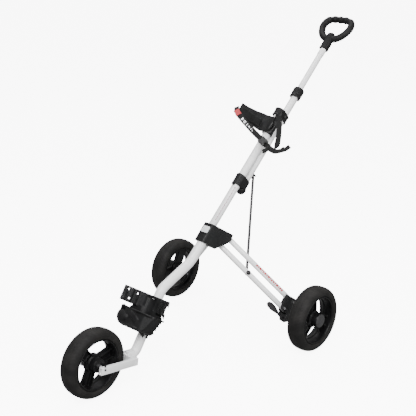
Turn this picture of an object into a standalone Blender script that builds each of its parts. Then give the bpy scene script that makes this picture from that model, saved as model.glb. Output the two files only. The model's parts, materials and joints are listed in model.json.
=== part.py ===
"""A three-wheeled golf push trolley, standing ready for use. Metres, +Z up, the front wheel towards -Y."""

import math

import bmesh
import bpy
from mathutils import Matrix, Vector

# Driving dimensions
WHEEL_RADIUS = 0.115
TYRE_HALF_WIDTH = 0.031
REAR_TRACK = 0.6536
WHEELBASE = 0.7127
REAR_AXLE_Y = 0.1220  # the origin is the middle of the bounding box, on the ground
FRAME_SLOPE = math.radians(42.5)
FRAME_HEIGHT = 0.557  # height of the main tube's axis above the rear axle
TUBE_SPACING = 0.0302  # between the axes of the main tube and the sliding upper tube

MAIN_RADIUS = 0.014
LOWER_RADIUS = 0.0165
UPPER_RADIUS = 0.0135
UPPER_BORE = 0.0114
HANDLE_RADIUS = 0.011
LEG_RADIUS = 0.0095
ROD_RADIUS = 0.0030
PIN_RADIUS = 0.004
AXLE_RADIUS = 0.005
WALL = 0.0018
GAP = 0.0003  # between pieces that touch

# Stations along the main tube, measured up its axis from above the rear axle
HUB_BOTTOM, HUB_TOP = -0.283, -0.2105
HUB_RISE = 0.2  # how much the hub's top and bottom climb towards the rear
CARRIAGE_BOTTOM, CARRIAGE_TOP = -0.040, 0.003
UPPER_TUBE_BOTTOM, UPPER_TUBE_TOP = -0.0195, 0.400
CRADLE_BOTTOM, CRADLE_TOP = 0.184, 0.252
GUIDE_BOTTOM, GUIDE_TOP = 0.264, 0.294
LOCK_BOTTOM, LOCK_TOP = 0.3725, 0.413
HANDLE_TUBE_BOTTOM, HANDLE_NECK, HANDLE_TOP = 0.218, 0.601, 0.7464

# Leg linkage: two parallel tubes a side between the hub's pivots and the wheel bracket's
LEG_PLANE_POINT = (0.04, 0.075, -0.2112)  # a point on the upper leg's axis
LEG_SPLAY = math.radians(44.25)  # of the leg's plane, from straight behind the main tube
LEG_DROOP = math.radians(13.2)  # of the leg, below a right angle to the main tube
UPPER_PIVOT, LOWER_PIVOT, LEG_REACH = -0.0144, -0.033, 0.309  # along the leg
LEG_STEP = 0.040  # between the legs, down the main tube
KNOB_REACH = 0.1143
CHEEK = 0.0098  # from the leg's plane to the inner face of each cheek
ROD_TOP = (0.0, 0.0568, 0.036)
ROD_OFFSET = 0.0160  # behind the leg's plane, at the knob

SLOPE_Y, SLOPE_Z = math.cos(FRAME_SLOPE), math.sin(FRAME_SLOPE)
X_AXIS = Vector((1, 0, 0))
ALONG = Vector((0, SLOPE_Y, SLOPE_Z))  # up the main tube
BEHIND = Vector((0, SLOPE_Z, -SLOPE_Y))  # away from the bag
LEG_OUT = Vector((math.sin(LEG_SPLAY), math.cos(LEG_SPLAY), 0))  # in (x, behind, along)
LEG_FACE = Vector((math.cos(LEG_SPLAY), -math.sin(LEG_SPLAY), 0))

FRAME = Matrix.Translation((0, 0, FRAME_HEIGHT)) @ Matrix(
    [(1, 0, 0, 0), (0, SLOPE_Z, SLOPE_Y, 0), (0, -SLOPE_Y, SLOPE_Z, 0), (0, 0, 0, 1)]
)
# The leg's plane: local X is its face, Y is outwards, Z is up the main tube
LEG_PLANE = FRAME @ Matrix.Translation(LEG_PLANE_POINT) @ Matrix(
    [
        (LEG_FACE.x, LEG_OUT.x, 0, 0),
        (LEG_FACE.y, LEG_OUT.y, 0, 0),
        (0, 0, 1, 0),
        (0, 0, 0, 1),
    ]
)
LEG_DIRECTION = Vector((0, math.cos(LEG_DROOP), -math.sin(LEG_DROOP)))  # in the leg's plane
LEG_DOWN = Vector((0, -math.sin(LEG_DROOP), -math.cos(LEG_DROOP)))


def in_leg(along, down=0.0, face=0.0):
    """A point of the leg's plane, from its distances along the upper leg and below it."""
    return LEG_DIRECTION * along + LEG_DOWN * down + Vector((face, 0, 0))


PIVOT_UPPER_IN = in_leg(UPPER_PIVOT)
PIVOT_UPPER_OUT = in_leg(LEG_REACH)
LOWER_LINE = Vector((0, 0, -LEG_STEP))
PIVOT_LOWER_IN = LOWER_LINE + LEG_DIRECTION * LOWER_PIVOT
PIVOT_LOWER_OUT = PIVOT_UPPER_OUT + PIVOT_LOWER_IN - PIVOT_UPPER_IN
KNOB = LOWER_LINE + LEG_DIRECTION * KNOB_REACH

BEND_LOW, BEND_HIGH = Vector((0, -0.532, 0.0775)), Vector((0, -0.403, 0.262))
BAG_RUN = (BEND_HIGH - BEND_LOW).normalized()
BAG_FRAME_SLOPE = math.atan2(BAG_RUN.z, BAG_RUN.y)
BAG_FRAME = Matrix.Translation(BEND_LOW + BAG_RUN * 0.1262) @ Matrix(
    [
        (1, 0, 0, 0),
        (0, math.sin(BAG_FRAME_SLOPE), math.cos(BAG_FRAME_SLOPE), 0),
        (0, -math.cos(BAG_FRAME_SLOPE), math.sin(BAG_FRAME_SLOPE), 0),
        (0, 0, 0, 1),
    ]
)

for old in list(bpy.data.objects):
    bpy.data.objects.remove(old)
PARTS = bpy.data.collections.new("golf_push_trolley")
CUTTERS = bpy.data.collections.new("cutters")
for group in (PARTS, CUTTERS):
    bpy.context.scene.collection.children.link(group)
TROLLEY = bpy.data.objects.new("trolley_frame", None)
TROLLEY.location = (0, REAR_AXLE_Y, 0)
PARTS.objects.link(TROLLEY)


def material(name, colour, roughness, metallic=0.0):
    made = bpy.data.materials.new(name)
    made.use_nodes = True
    shader = made.node_tree.nodes["Principled BSDF"]
    shader.inputs["Base Color"].default_value = (*colour, 1)
    shader.inputs["Roughness"].default_value = roughness
    shader.inputs["Metallic"].default_value = metallic
    made.diffuse_color = (*colour, 1)
    return made


WHITE_PAINT = material("white_paint", (0.86, 0.86, 0.87), 0.35)
BLACK_PLASTIC = material("black_plastic", (0.025, 0.025, 0.027), 0.5)
BLACK_RUBBER = material("black_rubber", (0.035, 0.034, 0.034), 0.75)
GREY_PLASTIC = material("grey_plastic", (0.10, 0.10, 0.10), 0.45)
STEEL = material("steel", (0.45, 0.45, 0.46), 0.3, 1.0)
WEBBING = material("webbing", (0.03, 0.03, 0.03), 0.85)
FOAM = material("foam_pad", (0.02, 0.02, 0.02), 0.9)
LIGHT_GREY = material("light_grey", (0.6, 0.6, 0.62), 0.5)


def add_mesh(name, mesh, paint, origin=None):
    """An object in the trolley's frame, its own origin at the given point of that frame."""
    part = bpy.data.objects.new(name, mesh)
    if paint:
        mesh.materials.clear()
        mesh.materials.append(paint)
    if origin is not None:
        mesh.transform(Matrix.Translation(-Vector(origin)))
        part.location = origin
    part.parent = TROLLEY
    (PARTS if paint else CUTTERS).objects.link(part)
    if not paint:
        part.hide_render = True
        part.display_type = "WIRE"
    return part


def mesh_from(bm, name, matrix=None, smooth=None):
    if matrix is not None:
        bm.transform(matrix)
    bmesh.ops.recalc_face_normals(bm, faces=bm.faces)
    if bm.calc_volume(signed=True) < 0:
        bmesh.ops.reverse_faces(bm, faces=bm.faces)
    mesh = bpy.data.meshes.new(name)
    bm.to_mesh(mesh)
    bm.free()
    if smooth:
        mesh.shade_smooth()
        mesh.set_sharp_from_angle(angle=math.radians(smooth))
    return mesh


def cylinder(start, end, radius, sides, end_radius=None):
    """A bmesh of a closed cylinder or cone between two points."""
    start, end = Vector(start), Vector(end)
    bm = bmesh.new()
    bmesh.ops.create_cone(
        bm,
        cap_ends=True,
        segments=sides,
        radius1=radius,
        radius2=radius if end_radius is None else end_radius,
        depth=(end - start).length,
    )
    turn = (end - start).to_track_quat("Z", "Y").to_matrix().to_4x4()
    bm.transform(Matrix.Translation((start + end) / 2) @ turn)
    return bm


def rod(name, start, end, radius, sides, paint, matrix=FRAME, origin=None):
    mesh = mesh_from(cylinder(start, end, radius, sides), name, matrix, 40)
    return add_mesh(name, mesh, paint, origin)


def box(name, low, high, paint, matrix=FRAME, origin=None):
    bm = bmesh.new()
    bmesh.ops.create_cube(bm, size=1)
    size = Vector(high) - Vector(low)
    bmesh.ops.scale(bm, vec=size, verts=bm.verts)
    bmesh.ops.translate(bm, vec=(Vector(low) + Vector(high)) / 2, verts=bm.verts)
    return add_mesh(name, mesh_from(bm, name, matrix), paint, origin)


def prism(name, outline, low, high, paint, matrix=FRAME, rise=0.0, smooth=None, origin=None):
    """An outline in local XY, extruded along local Z; rise shears its ends along local Y."""
    curve = bpy.data.curves.new(name, "CURVE")
    curve.dimensions = "2D"
    curve.fill_mode = "BOTH"
    curve.extrude = (high - low) / 2
    spline = curve.splines.new("POLY")
    spline.points.add(len(outline) - 1)
    for point, (x, y) in zip(spline.points, outline):
        point.co = (x, y, 0, 1)
    spline.use_cyclic_u = True
    holder = bpy.data.objects.new(name + "_outline", curve)
    bpy.context.scene.collection.objects.link(holder)
    bpy.context.view_layer.update()
    graph = bpy.context.evaluated_depsgraph_get()
    mesh = bpy.data.meshes.new_from_object(holder.evaluated_get(graph))
    bpy.data.objects.remove(holder)
    bm = bmesh.new()
    bm.from_mesh(mesh)
    bpy.data.meshes.remove(mesh)
    bmesh.ops.remove_doubles(bm, verts=bm.verts, dist=1e-6)
    bmesh.ops.translate(bm, vec=(0, 0, (low + high) / 2), verts=bm.verts)
    for vert in bm.verts:
        vert.co.z += rise * vert.co.y
    return add_mesh(name, mesh_from(bm, name, matrix, smooth), paint, origin)


def turned(name, profile, steps, paint, matrix, origin=None):
    """A profile of (radius, height) turned about local Z; it runs down the outer side."""
    bm = bmesh.new()
    points = [bm.verts.new((radius, 0, height)) for radius, height in profile]
    for start, end in zip(points, points[1:] + points[:1]):
        bm.edges.new((start, end))
    half_step = Matrix.Rotation(math.pi / steps, 4, "Z")
    bm.transform(half_step)
    mesh = bpy.data.meshes.new(name)
    bm.to_mesh(mesh)
    bm.free()
    part = bpy.data.objects.new(name, mesh)
    bpy.context.scene.collection.objects.link(part)
    screw = part.modifiers.new("turn", "SCREW")
    screw.steps = screw.render_steps = steps
    screw.use_merge_vertices = True
    screw.merge_threshold = 0.00001
    bpy.context.view_layer.update()
    graph = bpy.context.evaluated_depsgraph_get()
    solid = bpy.data.meshes.new_from_object(part.evaluated_get(graph))
    bpy.data.objects.remove(part)
    bm = bmesh.new()
    bm.from_mesh(solid)
    bmesh.ops.remove_doubles(bm, verts=bm.verts, dist=1e-6)
    return add_mesh(name, mesh_from(bm, name, matrix, 40), paint, origin)


def combine(part, other, operation="DIFFERENCE"):
    """Cuts or joins with another object, which stays as a hidden helper."""
    if other.name in PARTS.objects:
        PARTS.objects.unlink(other)
        CUTTERS.objects.link(other)
        other.hide_render = True
        other.display_type = "WIRE"
    step = part.modifiers.new(operation.lower(), "BOOLEAN")
    step.operation = operation
    step.object = other
    return part


def bore(part, start, end, radius, sides=20, matrix=FRAME):
    name = f"{part.name}_bore_{len(part.modifiers)}"
    return combine(part, rod(name, start, end, radius, sides, None, matrix))


def evaluated_copy(part):
    bpy.context.view_layer.update()
    graph = bpy.context.evaluated_depsgraph_get()
    return bpy.data.meshes.new_from_object(part.evaluated_get(graph))


def right_copy(part):
    """The mirror image of a left-hand piece, as an object of its own."""
    mesh = evaluated_copy(part)
    mesh.transform(Matrix.Scale(-1, 4, X_AXIS))
    mesh.flip_normals()
    other = bpy.data.objects.new(part.name.replace("left", "right"), mesh)
    other.parent = TROLLEY
    other.location = (-part.location.x, part.location.y, part.location.z)
    PARTS.objects.link(other)
    return other


def rounded_path(corners, radii, step=math.radians(7)):
    """Straight runs joined by arcs: corners are points, and radii are the bends' at the inner ones."""
    path = [Vector(corners[0])]
    for before, corner, after, radius in zip(corners, corners[1:], corners[2:], radii):
        corner = Vector(corner)
        inward = (Vector(before) - corner).normalized()
        onward = (Vector(after) - corner).normalized()
        half = inward.angle(onward) / 2
        reach = radius / math.tan(half)
        centre = corner + (inward + onward).normalized() * radius / math.sin(half)
        start = corner + inward * reach - centre
        bend = math.pi - 2 * half
        normal = start.cross(corner + onward * reach - centre).normalized()
        count = max(2, math.ceil(bend / step))
        for i in range(count + 1):
            path.append(centre + Matrix.Rotation(bend * i / count, 3, normal) @ start)
    path.append(Vector(corners[-1]))
    return path


def piped(name, path, radius, paint, resolution=4, cyclic=False, matrix=None):
    """A round bar along a path, as a mesh with welded caps."""
    curve = bpy.data.curves.new(name, "CURVE")
    curve.dimensions = "3D"
    curve.bevel_depth = radius
    curve.bevel_resolution = resolution
    curve.use_fill_caps = True
    spline = curve.splines.new("POLY")
    spline.points.add(len(path) - 1)
    for point, place in zip(spline.points, path):
        point.co = (*place, 1)
    spline.use_cyclic_u = cyclic
    holder = bpy.data.objects.new(name + "_path", curve)
    bpy.context.scene.collection.objects.link(holder)
    mesh = evaluated_copy(holder)
    bpy.data.objects.remove(holder)
    bm = bmesh.new()
    bm.from_mesh(mesh)
    bmesh.ops.remove_doubles(bm, verts=bm.verts, dist=1e-6)
    return add_mesh(name, mesh_from(bm, name, matrix, 40), paint)


def ribbon(name, path, width, thickness, across, paint, matrix=FRAME):
    """A flat strap along a path, whose width lies along the direction across."""
    bm = bmesh.new()
    across = Vector(across).normalized()
    rings = []
    for i, place in enumerate(path):
        along = (path[min(i + 1, len(path) - 1)] - path[max(i - 1, 0)]).normalized()
        normal = along.cross(across).normalized() * thickness / 2
        side = normal.cross(along).normalized() * width / 2
        corners = (side + normal, side - normal, -side - normal, -side + normal)
        rings.append([bm.verts.new(place + corner) for corner in corners])
    for ring, after in zip(rings, rings[1:]):
        for k in range(4):
            bm.faces.new((ring[k], ring[(k + 1) % 4], after[(k + 1) % 4], after[k]))
    bm.faces.new(rings[0])
    bm.faces.new(rings[-1])
    return add_mesh(name, mesh_from(bm, name, matrix), paint)


def arc(centre, radius, start, end, count):
    """Points of an arc in a plane, from one angle to another in degrees."""
    points = []
    for i in range(count + 1):
        angle = math.radians(start + (end - start) * i / count)
        points.append(
            (centre[0] + radius * math.cos(angle), centre[1] + radius * math.sin(angle))
        )
    return points


def mirrored_outline(half):
    """A whole outline from its right half; a middle point on a straight edge is left out."""
    if abs(half[0][1] - half[1][1]) < 1e-9:
        half = half[1:]
    if abs(half[-1][1] - half[-2][1]) < 1e-9:
        half = half[:-1]
    return half + [(-x, y) for x, y in reversed(half) if abs(x) > 1e-9]


# Frame


def bent_run(name, radius, over, paint):
    """The line of the bent tube from the fork up to the hub, longer at both ends by over."""
    corners = [
        (0, -0.5655 - over, 0.0795),
        BEND_LOW,
        BEND_HIGH,
        (0, -0.2646, 0.3146),
        tuple(FRAME @ Vector((0, 0, HUB_BOTTOM + 0.045 + over))),
    ]
    return piped(name, rounded_path(corners, (0.03, 0.055, 0.09)), radius, paint)


def lower_frame_tube():
    tube = bent_run("lower_frame_tube", LOWER_RADIUS, 0, WHITE_PAINT)
    return combine(tube, bent_run("lower_frame_bore", LOWER_RADIUS - WALL, 0.004, None))


def main_tube():
    bottom, top = HUB_BOTTOM + 0.049, GUIDE_TOP - 0.004
    return tube_between("main_tube", bottom, top, MAIN_RADIUS, MAIN_RADIUS - WALL, WHITE_PAINT, 0)


FORK_ARM_X = 0.046
FORK_ARM_HALF = 0.006
FORK_BACK_Y = -0.566


def fork():
    """The crown plate, with an arm each side of the front wheel."""
    tilt = math.atan2(0.0255, 0.1467)
    turn = Matrix.Translation((0, FORK_BACK_Y, 0.0775)) @ Matrix.Rotation(-tilt, 4, "X")
    crown = box("fork_crown", (-0.052, -0.018, -0.0125), (0.052, -GAP, 0.0125), WHITE_PAINT, turn)
    socket = rod(
        "fork_crown_socket", (0, -0.010, 0.0015), (0, 0.026, 0.0015), 0.0200, 20, None, turn
    )
    combine(crown, socket, "UNION")
    combine(crown, cutter_box("fork_crown_room", (-0.1, 0, -0.1), (0.1, 0.05, -0.0125), turn))
    combine(crown, bent_run("crown_seat", LOWER_RADIUS + 0.0004, 0.0005, None))
    for side, x in (("left", FORK_ARM_X), ("right", -FORK_ARM_X)):
        box(
            f"fork_arm_{side}",
            (x - FORK_ARM_HALF, -0.158, -0.012),
            (x + FORK_ARM_HALF, -0.018 - GAP, 0.012),
            WHITE_PAINT,
            turn,
        )
    return crown


def cutter_box(name, low, high, matrix):
    return box(name, low, high, None, matrix)


def front_axle_parts():
    centre = Vector((0, -WHEELBASE, WHEEL_RADIUS))
    level = Matrix.Translation(centre)
    inner = FORK_ARM_X - FORK_ARM_HALF - GAP
    rod("front_axle", (-inner, 0, 0), (inner, 0, 0), AXLE_RADIUS, 12, STEEL, level)
    for side, sign in (("left", 1), ("right", -1)):
        outer = FORK_ARM_X + FORK_ARM_HALF + GAP
        for height, place in ((0.0045, "upper"), (-0.0085, "lower")):
            rod(
                f"fork_screw_{place}_{side}",
                (sign * outer, 0.006, height),
                (sign * (outer + 0.002), 0.006, height),
                0.0033,
                10,
                BLACK_PLASTIC,
                level,
            )


def tube_pair_outline(front_radius, back_radius, back=TUBE_SPACING):
    """Round the main tube in front and the upper tube behind, with straight flanks."""
    half = arc((0, 0), front_radius, -90, 0, 6) + arc((0, back), back_radius, 0, 90, 6)
    half[-1] = (0, half[-1][1])
    half[0] = (0, half[0][1])
    return mirrored_outline(half)


def leg_plane_point(out, face):
    """(x, behind) of a point of the leg's plane."""
    place = Vector(LEG_PLANE_POINT) + LEG_OUT * out + LEG_FACE * face
    return (place.x, place.y)


HUB_TIP = 0.004
HUB_FRONT_PLATE = 0.0137
HUB_REAR_PLATE = 0.0112


def hub_cutters():
    """The slots that the legs turn in, and the chamfered lower corners of the lobes."""
    slot = box(
        "leg_slot",
        (-CHEEK, -0.0438, -0.12),
        (CHEEK, 0.05, 0.0),
        None,
        LEG_PLANE,
    )
    bm = bmesh.new()
    bm.from_mesh(slot.data)
    inverse = LEG_PLANE.inverted()
    for vert in bm.verts:
        place = inverse @ vert.co
        if place.z > -0.01:
            behind = LEG_PLANE_POINT[1] + (LEG_OUT * place.y + LEG_FACE * place.x).y
            top = HUB_TOP + HUB_RISE * (behind + 0.0215) - 0.003
            vert.co = LEG_PLANE @ Vector((place.x, place.y, top - LEG_PLANE_POINT[2]))
    bm.to_mesh(slot.data)
    bm.free()
    corner = prism(
        "hub_corner",
        [(-0.0303, -0.0566), (-0.0011, -0.0158), (0.0025, -0.003), (0.0025, 0.004)]
        + [(-0.003, 0.02), (0.03, 0.02), (0.03, -0.1), (-0.0303, -0.1)],
        -0.03,
        0.03,
        None,
        LEG_PLANE @ Matrix([(0, 0, 1, 0), (1, 0, 0, 0), (0, 1, 0, 0), (0, 0, 0, 1)]),
    )
    made = [slot, corner]
    for cutter in (slot, corner):
        mesh = cutter.data.copy()
        mesh.transform(Matrix.Scale(-1, 4, X_AXIS))
        mesh.flip_normals()
        made.append(add_mesh(cutter.name + "_right", mesh, None))
    return made


def hub():
    """The folding hub: a front shell with the badge, and a rear shell behind the tubes."""
    shift = HUB_RISE * 0.0215
    tip = leg_plane_point(HUB_TIP, HUB_FRONT_PLATE)
    tip_in = leg_plane_point(HUB_TIP, CHEEK)
    root_in = leg_plane_point(-0.036, CHEEK)
    front = [(0, -0.0215), (0.0150, -0.0215), (0.0190, -0.0200), (0.0205, -0.0165)]
    front += [tip, tip_in, root_in, (0.0200, 0.0043), (0, 0.0043)]
    tip_mid = leg_plane_point(HUB_TIP, CHEEK - GAP)
    root_mid = leg_plane_point(-0.036, CHEEK - GAP)
    tip_back = leg_plane_point(HUB_TIP, -HUB_REAR_PLATE)
    notch = LEG_PLANE_POINT[1] - (LEG_PLANE_POINT[0] - HUB_REAR_PLATE / LEG_FACE.x) + 0.0008
    rear = [(0, 0.0046), (0.0197, 0.0046), (root_mid[0], root_mid[1]), tip_mid, tip_back]
    rear += [(0, notch)]
    shells = []
    for name, outline in (("hub_front_shell", front), ("hub_rear_shell", rear)):
        shell = prism(
            name,
            mirrored_outline(outline),
            HUB_BOTTOM + shift,
            HUB_TOP + shift,
            BLACK_PLASTIC,
            rise=HUB_RISE,
        )
        shells.append(shell)
    for cutter in hub_cutters():
        for shell in shells:
            if shell.name == "hub_rear_shell" or "corner" in cutter.name:
                combine(shell, cutter)
    for shell in shells:
        bore(shell, (0, 0, HUB_BOTTOM - 0.02), (0, 0, HUB_BOTTOM + 0.047), LOWER_RADIUS + 0.0004)
        bore(shell, (0, 0, HUB_BOTTOM + 0.04), (0, 0, HUB_TOP + 0.02), MAIN_RADIUS + 0.0004)
    return shells


def hub_badge():
    outline = [(-0.011, -0.248), (0.011, -0.248), (0.011, -0.226), (-0.011, -0.226)]
    flat = FRAME @ Matrix([(1, 0, 0, 0), (0, 0, 1, 0), (0, 1, 0, 0), (0, 0, 0, 1)])
    bm_low = -0.0215 - GAP - 0.0012
    return prism("hub_badge", outline, bm_low, -0.0215 - GAP, LIGHT_GREY, flat)


def carriage():
    """The sleeve that slides on the main tube and carries the upper tube's foot."""
    sleeve = prism(
        "carriage_sleeve",
        tube_pair_outline(0.0185, 0.0175),
        CARRIAGE_BOTTOM,
        CARRIAGE_TOP,
        BLACK_PLASTIC,
        smooth=40,
    )
    slant = Matrix.Translation((0, 0.0, -0.043)) @ Matrix.Rotation(math.radians(25), 4, "X")
    combine(sleeve, cutter_box("carriage_slant", (-0.05, 0, -0.03), (0.05, 0.09, 0), FRAME @ slant))
    bore(sleeve, (0, 0, -0.06), (0, 0, 0.02), MAIN_RADIUS + 0.0003)
    bore(
        sleeve,
        (0, TUBE_SPACING, UPPER_TUBE_BOTTOM - GAP),
        (0, TUBE_SPACING, 0.02),
        UPPER_RADIUS + 0.0003,
    )
    return sleeve


def tube_between(name, low, high, outer, inner, paint, behind=TUBE_SPACING, steps=20):
    profile = [(outer, high), (outer, low), (inner, low), (inner, high)]
    return turned(name, profile, steps, paint, FRAME @ Matrix.Translation((0, behind, 0)))


def rod_anchor():
    """The hook on the upper tube that holds the brace rod's ball end."""
    hook = box("rod_anchor", (-0.0065, 0.037, 0.026), (0.0065, 0.0615, 0.0450), BLACK_PLASTIC, FRAME)
    combine(hook, cutter_box("rod_anchor_pocket", (-0.02, 0.0524, 0.0), (0.02, 0.09, 0.0406), FRAME))
    bore(hook, (0, TUBE_SPACING, 0), (0, TUBE_SPACING, 0.06), UPPER_RADIUS + 0.0003)
    return hook


def top_guide():
    """The moulding on the main tube's end, which the upper tube slides through."""
    guide = prism(
        "top_guide",
        tube_pair_outline(0.0195, 0.0182),
        GUIDE_BOTTOM,
        GUIDE_TOP,
        BLACK_PLASTIC,
        smooth=40,
    )
    bore(guide, (0, 0, GUIDE_BOTTOM - 0.02), (0, 0, GUIDE_TOP - 0.0037), MAIN_RADIUS + 0.0003)
    behind = TUBE_SPACING
    bore(guide, (0, behind, 0.2), (0, behind, 0.35), UPPER_RADIUS + 0.0005)
    bore(guide, (0.0105, 0.0151, 0.279), (0.03, 0.0151, 0.279), 0.0053, 12)
    return guide


def latch_button():
    place = FRAME @ Vector((0.014, 0.0151, 0.279))
    start, end = (0.0140, 0.0151, 0.279), (0.0228, 0.0151, 0.279)
    return rod("latch_button", start, end, 0.0049, 12, GREY_PLASTIC, origin=place)


def handle_lock():
    """The twist lock that clamps the handle tube in the upper tube."""
    inner = UPPER_RADIUS + 0.0005
    profile = [
        (0.0180, LOCK_TOP),
        (0.0200, LOCK_TOP - 0.003),
        (0.0195, LOCK_BOTTOM + 0.012),
        (0.0207, LOCK_BOTTOM + 0.003),
        (0.0200, LOCK_BOTTOM),
        (inner, LOCK_BOTTOM),
        (inner, UPPER_TUBE_TOP + 0.0004),
        (HANDLE_RADIUS + 0.0004, UPPER_TUBE_TOP + 0.0004),
        (HANDLE_RADIUS + 0.0004, LOCK_TOP),
    ]
    centre = FRAME @ Matrix.Translation((0, TUBE_SPACING, 0))
    place = centre @ Vector((0, 0, (LOCK_BOTTOM + LOCK_TOP) / 2))
    return turned("handle_lock", profile, 24, BLACK_PLASTIC, centre, place)


HANDLE_WIDTH = 0.060
HANDLE_BAR_RADIUS = 0.0132


def handle_grip():
    """A closed loop handle with a cross grip, on a tapered neck."""
    half = [(0.0, 0.652), (0.021, 0.6555), (0.039, 0.667), (0.0515, 0.684), (0.0590, 0.704)]
    half += [(0.0585, 0.7225), (0.0490, 0.7380), (0.0300, 0.7450), (0.0, HANDLE_TOP)]
    ring = half + [(-x, s) for x, s in reversed(half[1:-1])]
    path = [FRAME @ Vector((x, TUBE_SPACING, s)) for x, s in ring]
    grip = piped("handle_grip", path, HANDLE_BAR_RADIUS, BLACK_PLASTIC, 3, cyclic=True)
    centre = FRAME @ Matrix.Translation((0, TUBE_SPACING, 0))
    neck = [(0.0001, 0.678), (0.0080, 0.6765), (0.0145, 0.670), (0.0155, 0.655), (0.0145, 0.630)]
    neck += [(0.0165, HANDLE_NECK), (0.0001, HANDLE_NECK)]
    combine(grip, turned("handle_neck", neck, 16, None, centre), "UNION")
    bore(
        grip,
        (0, TUBE_SPACING, 0.58),
        (0, TUBE_SPACING, 0.6186),
        HANDLE_RADIUS + 0.0003,
        16,
    )
    return grip


# Bag supports


TRAY_FLOOR, TRAY_SEAT, TRAY_RIM = -0.0500, -0.0494, 0.004


def tray_taper(name, inset):
    """Seen from the front, the tray narrows towards its floor."""
    half = [(0.026 - inset, -0.0700 + inset), (0.050 - inset, -0.0600 + inset)]
    half += [(0.0590 - inset, -0.0470), (0.0900 - inset, 0.030)]
    face = BAG_FRAME @ Matrix([(1, 0, 0, 0), (0, 0, 1, 0), (0, 1, 0, 0), (0, 0, 0, 1)])
    return prism(name, mirrored_outline(half), -0.12, 0.0, None, face)


def lower_bag_bracket():
    """The cradle low on the frame: a clamp, two wings and a lipped tray that the bag stands in."""
    body = [(0.018, -0.026), (0.0235, -0.020), (0.0235, 0.012), (0.013, 0.0235)]
    clamp = prism(
        "lower_bag_bracket", mirrored_outline(body), -0.0585, 0.058, BLACK_PLASTIC, BAG_FRAME
    )
    half = [(0, -0.0248), (0.027, -0.0253), (0.070, -0.043), (0.101, -0.062)]
    half += [(0.104, -0.059), (0.073, -0.038), (0.029, -0.019), (0, -0.018)]
    wings = prism("bag_wings", mirrored_outline(half), 0.016, 0.068, None, BAG_FRAME)
    face = BAG_FRAME @ Matrix([(1, 0, 0, 0), (0, 0, 1, 0), (0, 1, 0, 0), (0, 0, 0, 1)])
    for sign in (1, -1):
        notch = [(0.0870, 0.0270), (0.0910, 0.0500), (0.13, 0.0560), (0.13, 0.0250)]
        outline = [(sign * x, s) for x, s in notch]
        combine(wings, prism(f"wing_notch_{sign}", outline, -0.1, 0.05, None, face))
    combine(clamp, wings, "UNION")
    teeth = [(0.054, -0.0520), (0.0620, -0.0455), (0.0600, -0.0355), (0.0675, -0.0325)]
    teeth += [(0.0650, -0.0225), (0.0725, -0.0195), (0.0700, -0.0095), (0.0775, -0.0065)]
    teeth += [(0.0740, 0.0070), (0.0600, 0.0230)]
    plate = prism("bag_back_plate", mirrored_outline(teeth), -0.0300, -0.0252, None, face)
    combine(clamp, plate, "UNION")
    outer = [(0, -0.0865), (0.045, -0.082), (0.076, -0.068), (0.092, -0.045), (0.094, -0.0262)]
    inner = [(0, -0.0824), (0.043, -0.077), (0.0722, -0.0645), (0.087, -0.0440), (0.089, -0.0296)]
    tray = prism("bag_tray", mirrored_outline(outer), -0.0545, TRAY_RIM, None, BAG_FRAME)
    combine(tray, tray_taper("bag_tray_taper", 0), "INTERSECT")
    room = prism("bag_tray_room", mirrored_outline(inner), TRAY_FLOOR, 0.02, None, BAG_FRAME)
    combine(room, tray_taper("bag_room_taper", 0.0040), "INTERSECT")
    combine(tray, room)
    combine(clamp, tray, "UNION")
    seat = [(0, -0.0805), (0.040, -0.0755), (0.048, -0.0700), (0.048, -0.0340)]
    pad = prism("bag_seat", mirrored_outline(seat), -0.0520, TRAY_SEAT, None, BAG_FRAME)
    combine(clamp, pad, "UNION")
    lug = rod("bag_bracket_lug", (0.0213, 0, -0.0575), (0.0213, 0, -0.0665), 0.0032, 10, None, BAG_FRAME)
    combine(clamp, lug, "UNION")
    bore(clamp, (0, 0, -0.09), (0, 0, 0.1), LOWER_RADIUS + 0.0004, 24, BAG_FRAME)
    return clamp


def bag_bracket_bolt():
    return rod(
        "bag_bracket_bolt", (0.024, 0, 0), (0.029, 0, 0), 0.0055, 10, BLACK_PLASTIC, BAG_FRAME
    )


CRADLE_ARM_TIP = (0.089, -0.100)


def upper_cradle():
    """The yoke below the guide: a split clamp with two arms reaching out beside the bag."""
    middle = 0.0190
    clamp = prism(
        "upper_bag_cradle",
        mirrored_outline(arc((0, 0), middle, -90, 35, 9) + [(0, 0.0109)]),
        CRADLE_BOTTOM,
        CRADLE_TOP,
        BLACK_PLASTIC,
        smooth=40,
    )
    half = [(0, -0.0235), (0.024, -0.0265), (0.050, -0.049), (0.072, -0.076), (0.0845, -0.101)]
    half += [(0.0885, -0.0995), (0.0760, -0.0735), (0.0535, -0.046), (0.0270, -0.0165), (0, -0.0165)]
    arms = prism("cradle_arms", mirrored_outline(half), 0.1835, 0.249, None)
    combine(clamp, arms, "UNION")
    face = FRAME @ Matrix([(1, 0, 0, 0), (0, 0, 1, 0), (0, 1, 0, 0), (0, 0, 0, 1)])
    for sign in (1, -1):
        taper = [(sign * 0.030, 0.2495), (sign * 0.12, 0.224), (sign * 0.12, 0.27), (0, 0.27)]
        taper += [(0, 0.2495)]
        combine(clamp, prism(f"cradle_taper_{sign}", taper, -0.2, -0.012, None, face))
    bore(clamp, (0, 0, 0.15), (0, 0, 0.3), MAIN_RADIUS + 0.0003)
    behind = TUBE_SPACING
    bore(clamp, (0, behind, 0.15), (0, behind, 0.3), UPPER_RADIUS + 0.001)
    return clamp


def cradle_pads():
    """A soft pad on the inner face of each arm."""
    half = [(0.0265, -0.0305), (0.0475, -0.0505), (0.0690, -0.0770), (0.0800, -0.0980)]
    half += [(0.0750, -0.1000), (0.0640, -0.0800), (0.0430, -0.0545), (0.0225, -0.0350)]
    pad = prism("cradle_pad_left", half, 0.190, 0.2205, FOAM)
    return pad, right_copy(pad)


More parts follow.
